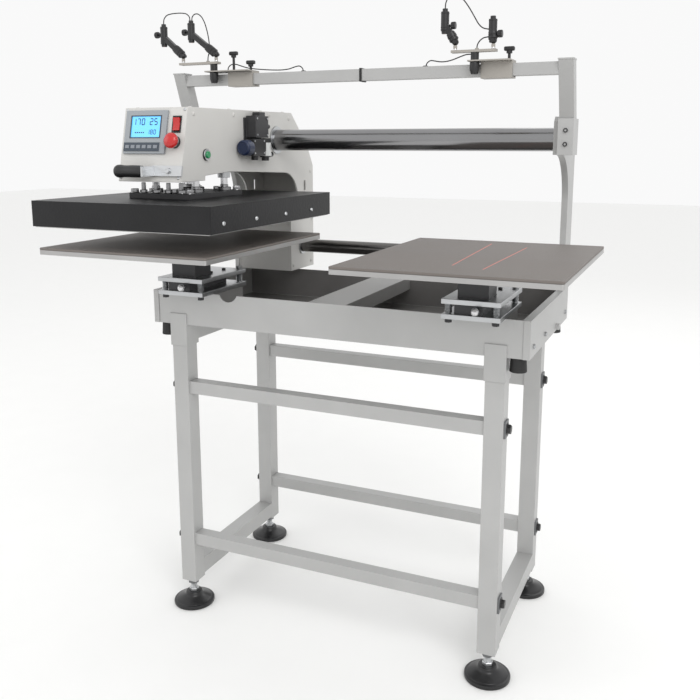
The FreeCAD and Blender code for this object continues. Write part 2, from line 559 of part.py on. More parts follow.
def arm(x0, x1, pivot_x, gland_x):
    low = BAR_Z + h + 7 + 0.2
    spacer = cyl(8.5, (pivot_x, LASER_Y, low), (0, 0, 1), 1311 - low)
    bar = box(x0, x1, LASER_Y - 9, LASER_Y + 9, 1311, 1316)
    stalks = [cyl(4.0, (x, LASER_Y, 1316), (0, 0, 1), 10) for x in (x0 + 7, x1 - 7)]
    gland = cyl(4.0, (gland_x, LASER_Y, 1316), (0, 0, 1), 3)
    return fuse(spacer, bar, gland, *stalks)


def laser(stalk_x, module_x, z0, z1, knob_x, knob_z, knob_side):
    """Pointer module held by a ball-jointed clamp on a stalk."""
    ball_z = 1333.0
    ball = Part.makeSphere(7.0, V(stalk_x, LASER_Y, ball_z))
    pivot = cyl(4.0, (stalk_x, LASER_Y - 9, ball_z), (0, 1, 0), 18)
    middle = (z0 + z1) / 2 - 4
    link = Part.makeBox(12, 12, max(math.hypot(module_x - stalk_x, middle - ball_z), 14), V(-6, -6, 0))
    aim = V(module_x - stalk_x, 0, middle - ball_z)
    link.Placement = FreeCAD.Placement(V(stalk_x, LASER_Y, ball_z), FreeCAD.Rotation(V(0, 0, 1), aim))
    barrel = cyl(8.5, (module_x, LASER_Y, z0 + 6), (0, 0, 1), z1 - z0 - 12)
    nose = cyl(6.0, (module_x, LASER_Y, z0), (0, 0, 1), 6)
    tail = cyl(5.5, (module_x, LASER_Y, z1 - 6), (0, 0, 1), 6)
    knob = cyl(7.0, (knob_x, LASER_Y, knob_z), (knob_side, 0, 0), 9)
    stem = cyl(2.5, (module_x, LASER_Y, knob_z), (knob_side, 0, 0), abs(knob_x - module_x) + 1)
    return fuse(barrel, nose, tail, link, ball, pivot, knob, stem)


LEAD_R = 1.25
save("laser_clamp_left", clamp(-323, -257, -374, -257, -354, (-338, 185)))
save("laser_clamp_right", clamp(285, 351, 262, 351, 275, (268, 184)))
save("thumbscrew_left_outer", thumbscrew(-316, BAR_Z + h + 7.2, 36))
save("thumbscrew_left_inner", thumbscrew(-270, BAR_Z + h + 7.2, 14))
save("thumbscrew_right", thumbscrew(340, BAR_Z + h + 7.2, 18))
save("laser_arm_left", arm(-446, -340, -354, -370))
save("laser_arm_right", arm(226, 320, 275, 279))
save("laser_left_outer", laser(-439, -492, 1356, 1408, -507, 1384, -1))
save("laser_left_inner", laser(-347, -414, 1362, 1412, -428, 1386, -1))
save("laser_right_outer", laser(313, 311, 1328, 1380, 322, 1345, 1))
save("laser_right_inner", laser(233, 210, 1350, 1400, 224, 1366, 1))
y = LASER_Y
left_loop = [(-492, y, 1408.3), (-491, y, 1420), (-482, y, 1428.5), (-466, y, 1431), (-442, y, 1431),
             (-426, y, 1428.5), (-417.5, y, 1421), (-416.8, y, 1412.3)]
left_drop = [(-411.4, y, 1412.3), (-410.6, y, 1420), (-404.5, y + 1, 1426.5), (-396, y + 3, 1427), (-388, y + 6, 1420.5),
             (-382, y + 9, 1407.5), (-377.5, y + 12, 1388), (-374.5, y + 13.5, 1368), (-372.8, y + 12.5, 1352),
             (-371.5, y + 9.5, 1341.5), (-370.5, y + 4.5, 1334), (-370, y + 0.5, 1326.5), (-370, y, 1319.1)]
right_loop = [(210, y, 1400.3), (210.4, y, 1411), (215, y, 1421), (225, y, 1427), (237, y, 1425), (249, y, 1415), (261, y, 1399),
              (272, y, 1381), (281, y, 1366), (290, y, 1357.5), (302.2, y, 1355)]
right_drop = [(302.2, y, 1340), (292, y, 1339), (284, y, 1333), (279.5, y, 1325.5), (279, y, 1319.1)]
save("laser_leads_left", lead(left_loop, LEAD_R), lead(left_drop, LEAD_R))
save("laser_leads_right", lead(right_loop, LEAD_R), lead(right_drop, LEAD_R))
left_tail = [(-338, 185, 1298.8), (-337, 185, 1306), (-330, 185.5, 1312), (-318, 187, 1313), (-304, 187, 1308.5), (-286, 186, 1303),
             (-262, 184, 1299.5), (-238, 180, 1297), (-214, 177, 1295), (-188, 176, 1294), (-168, 175, 1295.5), (-153, 175, 1300),
             (-142, 176, 1302), (-134, 176, 1296.5), (-132.2, 176, 1287.5), (-132, 176, 1276)]
right_tail = [(268, 184, 1298.8), (267, 184, 1306), (260, 183, 1311), (248, 181, 1311), (234, 178, 1306), (220, 176, 1300.5),
              (206, 175, 1297.5), (194, 174, 1297.2), (182, 174, 1299.5), (171, 175.5, 1301.5), (163, 176, 1296.5), (160.3, 176, 1287.5),
              (160, 176, 1276)]
save("trailing_lead_left", lead(left_tail, LEAD_R))
save("trailing_lead_right", lead(right_tail, LEAD_R))

whole = FreeCAD.BoundBox()
for _, shape in saved:
    whole.add(shape.BoundBox)
print("%d nodes, X %.2f..%.2f Y %.2f..%.2f Z %.2f..%.2f" %
      (len(saved), whole.XMin, whole.XMax, whole.YMin, whole.YMax, whole.ZMin, whole.ZMax))
print("centre %.2f %.2f" % (whole.Center.x, whole.Center.y))
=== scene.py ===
import json
import math

import bpy
from bpy.props import FloatProperty, FloatVectorProperty, PointerProperty
from mathutils import Matrix, Vector

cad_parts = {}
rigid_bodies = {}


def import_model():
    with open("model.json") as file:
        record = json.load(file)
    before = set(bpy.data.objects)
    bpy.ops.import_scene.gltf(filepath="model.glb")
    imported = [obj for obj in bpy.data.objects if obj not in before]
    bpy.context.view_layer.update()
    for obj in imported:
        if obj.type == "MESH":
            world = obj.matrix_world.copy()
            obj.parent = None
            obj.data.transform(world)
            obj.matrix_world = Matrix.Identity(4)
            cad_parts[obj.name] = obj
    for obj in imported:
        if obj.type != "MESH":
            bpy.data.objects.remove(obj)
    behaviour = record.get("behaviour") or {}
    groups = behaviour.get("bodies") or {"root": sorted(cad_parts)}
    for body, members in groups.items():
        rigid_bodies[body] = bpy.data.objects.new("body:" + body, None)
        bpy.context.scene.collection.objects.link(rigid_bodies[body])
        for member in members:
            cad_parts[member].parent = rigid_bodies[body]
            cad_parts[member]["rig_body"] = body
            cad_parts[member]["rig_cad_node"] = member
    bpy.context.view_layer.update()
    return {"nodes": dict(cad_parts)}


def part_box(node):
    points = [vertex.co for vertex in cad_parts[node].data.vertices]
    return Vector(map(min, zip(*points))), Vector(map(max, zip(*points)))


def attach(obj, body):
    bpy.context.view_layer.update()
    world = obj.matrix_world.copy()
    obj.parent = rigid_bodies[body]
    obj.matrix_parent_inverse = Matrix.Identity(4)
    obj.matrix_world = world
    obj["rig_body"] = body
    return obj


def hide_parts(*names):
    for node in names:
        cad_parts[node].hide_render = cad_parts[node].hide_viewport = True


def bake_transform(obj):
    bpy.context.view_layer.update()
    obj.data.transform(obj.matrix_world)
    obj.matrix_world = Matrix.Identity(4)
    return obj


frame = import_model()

bl_info = {
    "name": "Shuttle heat press",
    "version": (1, 0, 0),
    "blender": (4, 5, 0),
    "location": "View3D > Sidebar > Heat Press",
    "description": "Finishes and details of a two-station pneumatic heat press",
    "category": "Object",
}

MM = 0.001
STAND_ORIGIN = Vector((-3.5, 98.75, 0.0))
MATERIALS = {}

# sizes shared by the pieces, in stand millimetres: X from the stand's middle, Y from the front of its
# legs and Z from the floor
LEG_X, LEG_YS = 374.5, (20.0, 404.0)
RAIL_MIDS = (177.0, 562.0)
STATIONS = (-334.0, 334.0)
HEAD_X, HEAD_LEFT, HEAD_RIGHT = -327.0, -405.0, -249.0
PANEL_TOP, PANEL_FOOT = (-115.0, 1201.0), (-150.0, 1050.0)
SLOPE = math.atan2(PANEL_TOP[0] - PANEL_FOOT[0], PANEL_TOP[1] - PANEL_FOOT[1])
UNIT_X = -246.0
LASER_Y, BALL_Z = 149.0, 1333.0
BAR_Y, BAR_TOP = 176, 1295.7
DECK_Z = 1024
BRACKET_Z = 1071.5
SCREW_HEAD = [(4.6, 0), (4.4, 0.8), (3.4, 1.8), (2.0, 2.2), (1.8, 1.2)]

# the two laser lines painted as light on the right pad: their ends in stand millimetres and their width in
# metres
LASER_LINES = (((326, -149, 913.5), (311, 196, 913.5)), ((389, -175, 913.5), (395, 161, 913.5)))
LASER_WIDTH = 0.0022

# the gap that is welded shut, and the angles that count as flat, as an edge and as round
WELD_GAP = 0.00002
FLAT_ANGLE, EDGE_ANGLE, ROUND_ANGLE = math.radians(1.0), math.radians(40), math.radians(32)


# ---------------------------------------------------------------- small tools
def at(x, y, z):
    """Stand millimetres to metres in the row frame."""
    return (Vector((x, y, z)) - STAND_ORIGIN) * MM


def only(*objects):
    """Leave nothing selected but these, the first one active."""
    bpy.ops.object.select_all(action="DESELECT")
    for o in objects:
        o.select_set(True)
    bpy.context.view_layer.objects.active = objects[0]


def flatten(o):
    """Let the broad flat faces rule the shading, so that only the softened edges look round."""
    level = o.modifiers.new("level", "WEIGHTED_NORMAL")
    level.keep_sharp = True
    bpy.ops.object.modifier_apply(modifier="level")
    return o


def settle(o, name, angle=35.0):
    """Name a new piece, put its place into its mesh and smooth its round faces."""
    only(o)
    o.name = name
    bpy.ops.object.transform_apply(location=True, rotation=True, scale=True)
    bpy.ops.object.mode_set(mode="EDIT")
    bpy.ops.mesh.select_all(action="SELECT")
    bpy.ops.mesh.normals_make_consistent(inside=False)
    bpy.ops.object.mode_set(mode="OBJECT")
    bpy.ops.object.shade_smooth_by_angle(angle=math.radians(angle))
    return flatten(o)


def block(name, low, high, soften=0.8, rings=2, turn=None):
    """Softened block between two corners in stand millimetres; turn is a matrix for its place."""
    low, high = Vector(low), Vector(high)
    bpy.ops.object.select_all(action="DESELECT")
    centre = (low + high) / 2
    where = centre * MM if turn else at(*centre)
    bpy.ops.mesh.primitive_cube_add(size=1.0, location=where)
    o = bpy.context.object
    o.scale = (high - low) * MM
    bpy.ops.object.transform_apply(location=True, rotation=True, scale=True)
    if soften:
        bpy.ops.object.mode_set(mode="EDIT")
        bpy.ops.mesh.select_all(action="SELECT")
        bpy.ops.mesh.bevel(offset=soften * MM, segments=rings, affect="EDGES")
        bpy.ops.object.mode_set(mode="OBJECT")
    if turn:
        o.matrix_world = turn
    return settle(o, name)


def turned(name, profile, base, axis=(0, 0, 1), sides=40, place=None):
    """Round piece from (radius, height) steps, its foot at a point and its axis along a direction."""
    bpy.ops.object.select_all(action="DESELECT")
    radius, height = profile[0]
    bpy.ops.mesh.primitive_circle_add(vertices=sides, radius=radius * MM, fill_type="NGON")
    o = bpy.context.object
    bpy.ops.object.mode_set(mode="EDIT")
    bpy.ops.mesh.select_all(action="SELECT")
    bpy.ops.transform.translate(value=(0, 0, height * MM))
    for r, h in profile[1:]:
        bpy.ops.mesh.extrude_region_move(TRANSFORM_OT_translate={"value": (0, 0, (h - height) * MM)})
        share = r / radius
        bpy.ops.transform.resize(value=(share, share, 1))
        radius, height = r, h
    bpy.ops.object.mode_set(mode="OBJECT")
    o.rotation_mode = "QUATERNION"
    o.rotation_quaternion = Vector(axis).to_track_quat("Z", "Y")
    o.location = place if place is not None else at(*base)
    return settle(o, name)


def copies(o, shifts):
    """The piece and a copy of it at each shift, in millimetres, as one object."""
    made = [o]
    for shift in shifts:
        twin = o.copy()
        twin.data = o.data.copy()
        bpy.context.scene.collection.objects.link(twin)
        twin.data.transform(Matrix.Translation(Vector(shift) * MM))
        made.append(twin)
    return merge(o.name, *made)


def merge(name, *objects):
    """Join the pieces into the first one, under a name."""
    only(*objects)
    if len(objects) > 1:
        bpy.ops.object.join()
    objects[0].name = name
    return objects[0]


def dress(o, body, slot, finish, *stands_for):
    """Give a piece its finish and fix it to the body that it moves with."""
    o.data.materials.clear()
    o.data.materials.append(MATERIALS[finish])
    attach(o, body)
    if stands_for:
        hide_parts(*stands_for)
    return o


def machined(node, soften=0.8, rings=2):
    """Copy of a modelled part with its triangles merged and its edges broken."""
    source = frame["nodes"][node]
    o = source.copy()
    o.data = source.data.copy()
    o.parent = None
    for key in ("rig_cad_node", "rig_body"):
        del o[key]
    bpy.context.scene.collection.objects.link(o)
    o.name = node + "_finished"
    only(o)
    bpy.ops.mesh.customdata_custom_splitnormals_clear()
    bpy.ops.object.mode_set(mode="EDIT")
    bpy.ops.mesh.select_all(action="SELECT")
    bpy.ops.mesh.remove_doubles(threshold=WELD_GAP)
    if soften:
        bpy.ops.mesh.dissolve_limited(angle_limit=FLAT_ANGLE)
    bpy.ops.mesh.normals_make_consistent(inside=False)
    bpy.ops.object.mode_set(mode="OBJECT")
    if soften:
        round_edges = o.modifiers.new("round_edges", "BEVEL")
        round_edges.width = soften * MM
        round_edges.segments = rings
        round_edges.limit_method = "ANGLE"
        round_edges.angle_limit = EDGE_ANGLE
        bpy.ops.object.modifier_apply(modifier="round_edges")
    bpy.ops.object.shade_smooth_by_angle(angle=ROUND_ANGLE)
    return flatten(o)


def part_finish(node, body, slot, finish, soften=0.8, rings=2):
    """Modelled part with broken edges and its finish, in place of its node."""
    return dress(machined(node, soften, rings), body, slot, finish, node)


def second_finish(o, finish, chosen):
    """Another finish on the faces whose middles are chosen."""
    o.data.materials.append(MATERIALS[finish])
    for face in o.data.polygons:
        if chosen(face.center):
            face.material_index = 1


def hex_bolt(name, base, axis, across, height):
    """Hexagon head on a washer."""
    r = across / math.sqrt(3)
    steps = [(r * 0.94, 0), (r, height * 0.08), (r, height * 0.8), (r * 0.88, height)]
    head = turned(name, steps, base, axis, sides=6)
    disc = turned("washer", [(r * 1.25, -0.2), (r * 1.3, 0.3), (r * 1.25, 1.3)], base, axis, sides=28)
    return merge(name, head, disc)


def socket_screw(name, base, axis, radius, height):
    """Cap screw whose socket is let in from above."""
    steps = [(radius * 0.96, 0), (radius, height * 0.1), (radius, height * 0.85), (radius * 0.93, height),
             (radius * 0.55, height), (radius * 0.5, height * 0.55)]
    return turned(name, steps, base, axis, sides=24)


def on_panel(x, z, out=0.0):
    """Point on the sloping panel in stand millimetres, moved out of its face."""
    share = (PANEL_TOP[1] - z) / (PANEL_TOP[1] - PANEL_FOOT[1])
    y = PANEL_TOP[0] + share * (PANEL_FOOT[0] - PANEL_TOP[0])
    return (x, y - math.cos(SLOPE) * out, z + math.sin(SLOPE) * out)


PANEL_OUT = (0.0, -math.cos(SLOPE), math.sin(SLOPE))


def panel_frame(x, z):
    """Matrix whose X runs along the panel, Y up it and Z out of it, at a point on its face."""
    rise, lean = math.cos(SLOPE), math.sin(SLOPE)
    turn = Matrix(((1, 0, 0), (0, lean, -rise), (0, rise, lean)))
    return Matrix.Translation(at(*on_panel(x, z))) @ turn.to_4x4()


# ---------------------------------------------------------------- finishes
def finish(name, colour, metallic=0.0, roughness=0.5, grain=700.0, depth=0.12, tone=0.05,
           kind="noise", coat=0.0, stretch=(1, 1, 1)):
    """Surface with a broad drift of shade, a drift of gloss and a fine relief."""
    material = bpy.data.materials.new(name)
    material.use_nodes = True
    tree = material.node_tree
    shader = tree.nodes["Principled BSDF"]
    shader.inputs["Metallic"].default_value = metallic
    shader.inputs["Coat Weight"].default_value = coat
    shader.inputs["Coat Roughness"].default_value = 0.15
    coords = tree.nodes.new("ShaderNodeTexCoord")
    drift = tree.nodes.new("ShaderNodeTexNoise")
    drift.inputs["Scale"].default_value = 9.0
    drift.inputs["Detail"].default_value = 5.0
    ramp = tree.nodes.new("ShaderNodeValToRGB")
    ramp.color_ramp.elements[0].position = 0.3
    ramp.color_ramp.elements[1].position = 0.7
    ramp.color_ramp.elements[0].color = (*[c * (1 - tone) for c in colour], 1)
    ramp.color_ramp.elements[1].color = (*[min(1, c * (1 + tone)) for c in colour], 1)
    gloss = tree.nodes.new("ShaderNodeMapRange")
    gloss.inputs["To Min"].default_value = max(0.02, roughness * 0.85)
    gloss.inputs["To Max"].default_value = min(1.0, roughness * 1.15)
    place = tree.nodes.new("ShaderNodeMapping")
    place.inputs["Scale"].default_value = stretch
    if kind == "cells":
        fine = tree.nodes.new("ShaderNodeTexVoronoi")
        fine.feature = "SMOOTH_F1"
        relief = fine.outputs["Distance"]
    else:
        fine = tree.nodes.new("ShaderNodeTexNoise")
        fine.inputs["Detail"].default_value = 3.0
        relief = fine.outputs["Fac"]
    fine.inputs["Scale"].default_value = grain
    bump = tree.nodes.new("ShaderNodeBump")
    bump.inputs["Strength"].default_value = depth
    bump.inputs["Distance"].default_value = 0.0006
    link = tree.links.new
    link(coords.outputs["Object"], drift.inputs["Vector"])
    link(coords.outputs["Object"], place.inputs["Vector"])
    link(place.outputs["Vector"], fine.inputs["Vector"])
    link(drift.outputs["Fac"], ramp.inputs["Fac"])
    link(drift.outputs["Fac"], gloss.inputs["Value"])
    link(ramp.outputs["Color"], shader.inputs["Base Color"])
    link(gloss.outputs["Result"], shader.inputs["Roughness"])
    link(relief, bump.inputs["Height"])
    link(bump.outputs["Normal"], shader.inputs["Normal"])
    MATERIALS[name] = material
    return material


def painted_laser_line(tree, coords, start, end, width):
    """Mask of a thin straight line of painted laser light, drawn on a flat top between two points."""
    middle, run = (start + end) / 2, end - start
    place = tree.nodes.new("ShaderNodeMapping")
    place.vector_type = "TEXTURE"
    place.inputs["Location"].default_value = middle
    place.inputs["Rotation"].default_value = (0, 0, math.atan2(run.y, run.x))
    split = tree.nodes.new("ShaderNodeSeparateXYZ")
    tree.links.new(coords.outputs["Object"], place.inputs["Vector"])
    tree.links.new(place.outputs["Vector"], split.inputs["Vector"])
    masks = []
    for axis, reach in (("X", run.length / 2), ("Y", width / 2), ("Z", 0.0008)):
        size = tree.nodes.new("ShaderNodeMath")
        size.operation = "ABSOLUTE"
        inside = tree.nodes.new("ShaderNodeMath")
        inside.operation = "LESS_THAN"
        inside.inputs[1].default_value = reach
        tree.links.new(split.outputs[axis], size.inputs[0])
        tree.links.new(size.outputs[0], inside.inputs[0])
        masks.append(inside)
    both = masks[0]
    for mask in masks[1:]:
        times = tree.nodes.new("ShaderNodeMath")
        times.operation = "MULTIPLY"
        tree.links.new(both.outputs[0], times.inputs[0])
        tree.links.new(mask.outputs[0], times.inputs[1])
        both = times
    return both


# ---------------------------------------------------------------- settings
class PressFinish(bpy.types.PropertyGroup):
    """Colours and edges that a user would change."""
    stand_colour: FloatVectorProperty(
        name="Stand paint", description="Silver paint of stand, tray and end plates",
        subtype="COLOR", default=(0.43, 0.43, 0.425), min=0, max=1)
    head_colour: FloatVectorProperty(
        name="Head paint", description="Warm white paint of the shuttle head",
        subtype="COLOR", default=(0.60, 0.592, 0.57), min=0, max=1)
    housing_colour: FloatVectorProperty(
        name="Hammered paint", description="Black hammered paint of the heat platen",
        subtype="COLOR", default=(0.012, 0.012, 0.013), min=0, max=1)
    pad_colour: FloatVectorProperty(
        name="Pad", description="Covering of the lower platens",
        subtype="COLOR", default=(0.150, 0.132, 0.120), min=0, max=1)
    display_colour: FloatVectorProperty(
        name="Display", description="Back light of the controller's display",
        subtype="COLOR", default=(0.10, 0.42, 0.78), min=0, max=1)
    edge_round: FloatProperty(
        name="Edge rounding", description="Radius of broken edges on the sheet metal",
        unit="LENGTH", default=0.001, min=0.0001, max=0.003)


class StudioSettings(bpy.types.PropertyGroup):
    """Floor, light and camera."""
    floor_colour: FloatVectorProperty(
        name="Floor", description="Colour of the plain floor",
        subtype="COLOR", default=(0.92, 0.92, 0.91), min=0, max=1)
    key_power: FloatProperty(
        name="Key light", description="Power of the large soft light",
        default=78.0, min=0)
    fill_power: FloatProperty(
        name="Fill light", description="Power of the light from the left",
        default=14.0, min=0)
    lens: FloatProperty(
        name="Lens", description="Focal length of the camera in millimetres",
        default=42.18, min=10)


class PressPieces:
    """What the operators of this add-on share."""
    bl_options = {"REGISTER", "UNDO"}


class HEATPRESS_OT_finishes(PressPieces, bpy.types.Operator):
    """Make the paints, metals, rubbers and plastics"""
    bl_idname = "heatpress.finishes"
    bl_label = "Finishes"

    def execute(self, context):
        look = context.scene.press_finish
        finish("silver_paint", look.stand_colour, 0.25, 0.42, 900, 0.10, 0.04)
        finish("head_paint", look.head_colour, 0.0, 0.45, 900, 0.10, 0.025)
        hammered = finish("hammered_black", look.housing_colour, 0.1, 0.42, 190, 0.38, 0.25, "cells")
        hammered.node_tree.nodes["Principled BSDF"].inputs["Specular IOR Level"].default_value = 0.3
        finish("dark_paint", (0.030, 0.030, 0.032), 0.2, 0.42, 800, 0.12, 0.15)
        finish("grey_paint", (0.16, 0.165, 0.17), 0.2, 0.45, 800, 0.12, 0.08)
        # darker finish for the inside of the tray: painted shade on its floor and inner walls
        finish("tray_inside_painted_shade", (0.20, 0.193, 0.188), 0.3, 0.42, 500, 0.12, 0.12)
        # silver paint darkened as painted shade, for the tray's web and pedestal boxes
        finish("web_painted_shade", (0.30, 0.297, 0.29), 0.25, 0.42, 900, 0.10, 0.05)
        finish("chrome", (0.62, 0.62, 0.63), 1.0, 0.12, 60, 0.02, 0.03)
        # steel with a darker base than chrome: painted reflection on the upper chrome guide tube; the
        # platen's nuts share it
        finish("ground_steel_painted_reflection", (0.28, 0.28, 0.285), 1.0, 0.20, 60, 0.02, 0.04)
        # chrome darkened to a near-black base: painted reflection of dark surroundings on the lower guide
        # tube
        finish("steel_painted_dark_reflection", (0.16, 0.155, 0.15), 1.0, 0.24, 60, 0.03, 0.06)
        finish("zinc", (0.52, 0.53, 0.54), 1.0, 0.30, 500, 0.10, 0.10)
        finish("aluminium", (0.46, 0.455, 0.45), 1.0, 0.38, 420, 0.10, 0.06, stretch=(0.05, 1, 1))
        finish("black_plastic", (0.014, 0.014, 0.015), 0.0, 0.38, 1200, 0.12, 0.20)
        finish("foot_plastic", (0.012, 0.012, 0.013), 0.0, 0.30, 900, 0.10, 0.20)
        finish("rubber", (0.012, 0.012, 0.012), 0.0, 0.62, 900, 0.15, 0.20)
        finish("bezel_film", (0.30, 0.32, 0.34), 0.0, 0.42, 1400, 0.05, 0.04)
        finish("key_strip", (0.040, 0.055, 0.075), 0.0, 0.35, 1200, 0.06, 0.10)
        finish("key_grey", (0.22, 0.24, 0.27), 0.0, 0.45, 1200, 0.06, 0.06)
        finish("red_plastic", (0.52, 0.012, 0.012), 0.0, 0.26, 900, 0.05, 0.08, coat=0.4)
        finish("green_plastic", (0.010, 0.26, 0.09), 0.0, 0.28, 900, 0.05, 0.08, coat=0.4)
        finish("bowl_plastic", (0.62, 0.63, 0.62), 0.0, 0.22, 900, 0.04, 0.05, coat=0.5)
        finish("navy_paint", (0.012, 0.022, 0.060), 0.1, 0.35, 900, 0.08, 0.12)
        finish("segment_ink", (0.004, 0.020, 0.075), 0.0, 0.40, 1400, 0.03, 0.05)
        finish("lens_red", (0.35, 0.01, 0.01), 0.0, 0.12, 900, 0.02, 0.05, coat=1.0)
        finish("beige_paint", (0.36, 0.34, 0.31), 0.3, 0.42, 800, 0.10, 0.06)
        finish("lead_sheath", (0.014, 0.014, 0.014), 0.0, 0.42, 1500, 0.06, 0.15)
        display = finish("display_glass", look.display_colour, 0.0, 0.18, 300, 0.01, 0.10, coat=0.6)
        shader = display.node_tree.nodes["Principled BSDF"]
        shader.inputs["Emission Color"].default_value = (*look.display_colour, 1)
        shader.inputs["Emission Strength"].default_value = 0.75
        pad = finish("pad_cloth", look.pad_colour, 0.0, 0.55, 1500, 0.30, 0.06, "cells")
        tree = pad.node_tree
        coords = next(n for n in tree.nodes if n.type == "TEX_COORD")
        # the laser lines are painted light: an emissive red glow in the pad's own material
        lines = [painted_laser_line(tree, coords, at(*a), at(*b), LASER_WIDTH) for a, b in LASER_LINES]
        both = tree.nodes.new("ShaderNodeMath")
        both.operation = "MAXIMUM"
        glow = tree.nodes.new("ShaderNodeMix")
        glow.data_type = "RGBA"
        glow.inputs["A"].default_value = (0, 0, 0, 1)
        glow.inputs["B"].default_value = (0.55, 0.05, 0.02, 1)
        shader = tree.nodes["Principled BSDF"]
        shader.inputs["Emission Strength"].default_value = 0.8
        for k, line in enumerate(lines):
            tree.links.new(line.outputs[0], both.inputs[k])
        tree.links.new(both.outputs[0], glow.inputs["Factor"])
        tree.links.new(glow.outputs["Result"], shader.inputs["Emission Color"])
        return {"FINISHED"}


class HEATPRESS_OT_stand(PressPieces, bpy.types.Operator):
    """Legs, rails, bolts and lock nuts of the stand"""
    bl_idname = "heatpress.stand"
    bl_label = "Stand"

    def execute(self, context):
        edge = context.scene.press_finish.edge_round / MM
        part_finish("legs", "frame", "stand_white", "silver_paint", edge * 1.6, 3)
        part_finish("stand_rails", "frame", "stand_white", "silver_paint", edge * 1.3, 3)
        part_finish("stand_fasteners", "frame", "zinc", "grey_paint", 0.6)
        plate = 398.5
        for side, word in ((-1, "left"), (1, "right")):
            corner = (side * plate, LEG_YS[0], RAIL_MIDS[0])
            first = hex_bolt("leg_bolts_" + word, corner, (side, 0, 0), 17.5, 8.5)
            shifts = [(0, y - LEG_YS[0], z - RAIL_MIDS[0]) for y in LEG_YS for z in RAIL_MIDS][1:]
            dress(copies(first, shifts), "frame", "zinc", "black_plastic")
        beads = []
        for side in (-1, 1):
            for y in (5.0, 35.0, 389.0, 419.0):
                for z in RAIL_MIDS:
                    beads.append(turned("weld", [(0.8, -15), (1.5, -14), (1.5, 14), (0.8, 15)],
                                        (side * 354.0, y, z), (0, 0, 1), sides=8))
        dress(merge("rail_welds", *beads), "frame", "stand_white", "silver_paint")
        return {"FINISHED"}


class HEATPRESS_OT_feet(PressPieces, bpy.types.Operator):
    """Four levelling feet with domed pads and threaded studs"""
    bl_idname = "heatpress.feet"
    bl_label = "Levelling feet"

    def execute(self, context):
        dome = [(46.5, 0), (49.0, 1.0), (49.5, 3.0), (49.5, 7.0), (48.6, 9.0), (45.0, 10.2),
                (43.5, 10.2), (42.5, 11.6), (36, 14.2), (29, 17.6), (24, 20.2), (21.5, 22.8),
                (20.5, 26.5), (19.5, 28.6), (18, 29.6), (11, 29.8), (10, 28)]
        nut = [(11.4, 30), (12, 30.6), (12, 37), (11, 38)]
        thread = [(7.4, 26)]
        z = 30.0
        while z < 99.0:
            thread += [(7.9, z), (7.9, z + 0.7), (7.1, z + 1.5), (7.1, z + 1.8)]
            z += 2.5
        thread += [(6.2, 100.0)]
        for x, side in ((-LEG_X, "left"), (LEG_X, "right")):
            for y, end in ((LEG_YS[0], "front"), (LEG_YS[1], "rear")):
                corner = "%s_%s" % (end, side)
                pad = turned("foot_pad_" + corner, dome, (x, y, 0), sides=64)
                dress(pad, "foot_" + corner, "foot_plastic", "foot_plastic", "levelling_foot_" + corner)
                stud = turned("foot_stud_" + corner, thread, (x, y, 0), sides=32)
                dress(stud, "foot_" + corner, "zinc", "zinc")
                collar = turned("foot_nut_" + corner, nut, (x, y, 0), sides=6)
                dress(collar, "foot_" + corner, "zinc", "zinc")
        return {"FINISHED"}


class HEATPRESS_OT_tray(PressPieces, bpy.types.Operator):
    """Folded tray with its web, pedestal boxes and buffers"""
    bl_idname = "heatpress.tray"
    bl_label = "Tray"

    def execute(self, context):
        edge = context.scene.press_finish.edge_round / MM
        tray = part_finish("tray_body", "frame", "tray_paint", "silver_paint", edge, 3)
        # the tray's floor and inner walls take the darker second finish: painted shade of the hollow tray
        tray.data.materials.append(MATERIALS["tray_inside_painted_shade"])
        low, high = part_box("tray_body")
        sheet = 0.0025
        floor_top, wall_foot, rear = at(0, 0, 720).z, at(0, 0, 716.9).z, low.y + 0.3
        for face in tray.data.polygons:
            middle = face.center
            floor = face.normal.z > 0.9 and middle.z < floor_top
            inside = all(low[k] + sheet < middle[k] < high[k] - sheet for k in (0, 1))
            upright = abs(face.normal.z) < 0.5 and middle.z > wall_foot
            if floor or (inside and upright and middle.y > rear):
                face.material_index = 1
        # the web and pedestal boxes get the darker finish: painted shade
        part_finish("tray_beams", "frame", "tray_paint", "web_painted_shade", edge)
        part_finish("tray_buffers", "frame", "rubber_black", "rubber", 1.5, 3)
        steps = [(4.5, 0), (4.3, 1.0), (3.2, 2.1), (1.4, 2.7)]
        heads = [turned("rivet", steps, (x, 424.8, 750), (0, 1, 0), 20)
                 for x in (-300.0, -120.0, 120.0, 300.0)]
        dress(merge("tray_rear_rivets", *heads), "frame", "zinc", "silver_paint")
        return {"FINISHED"}


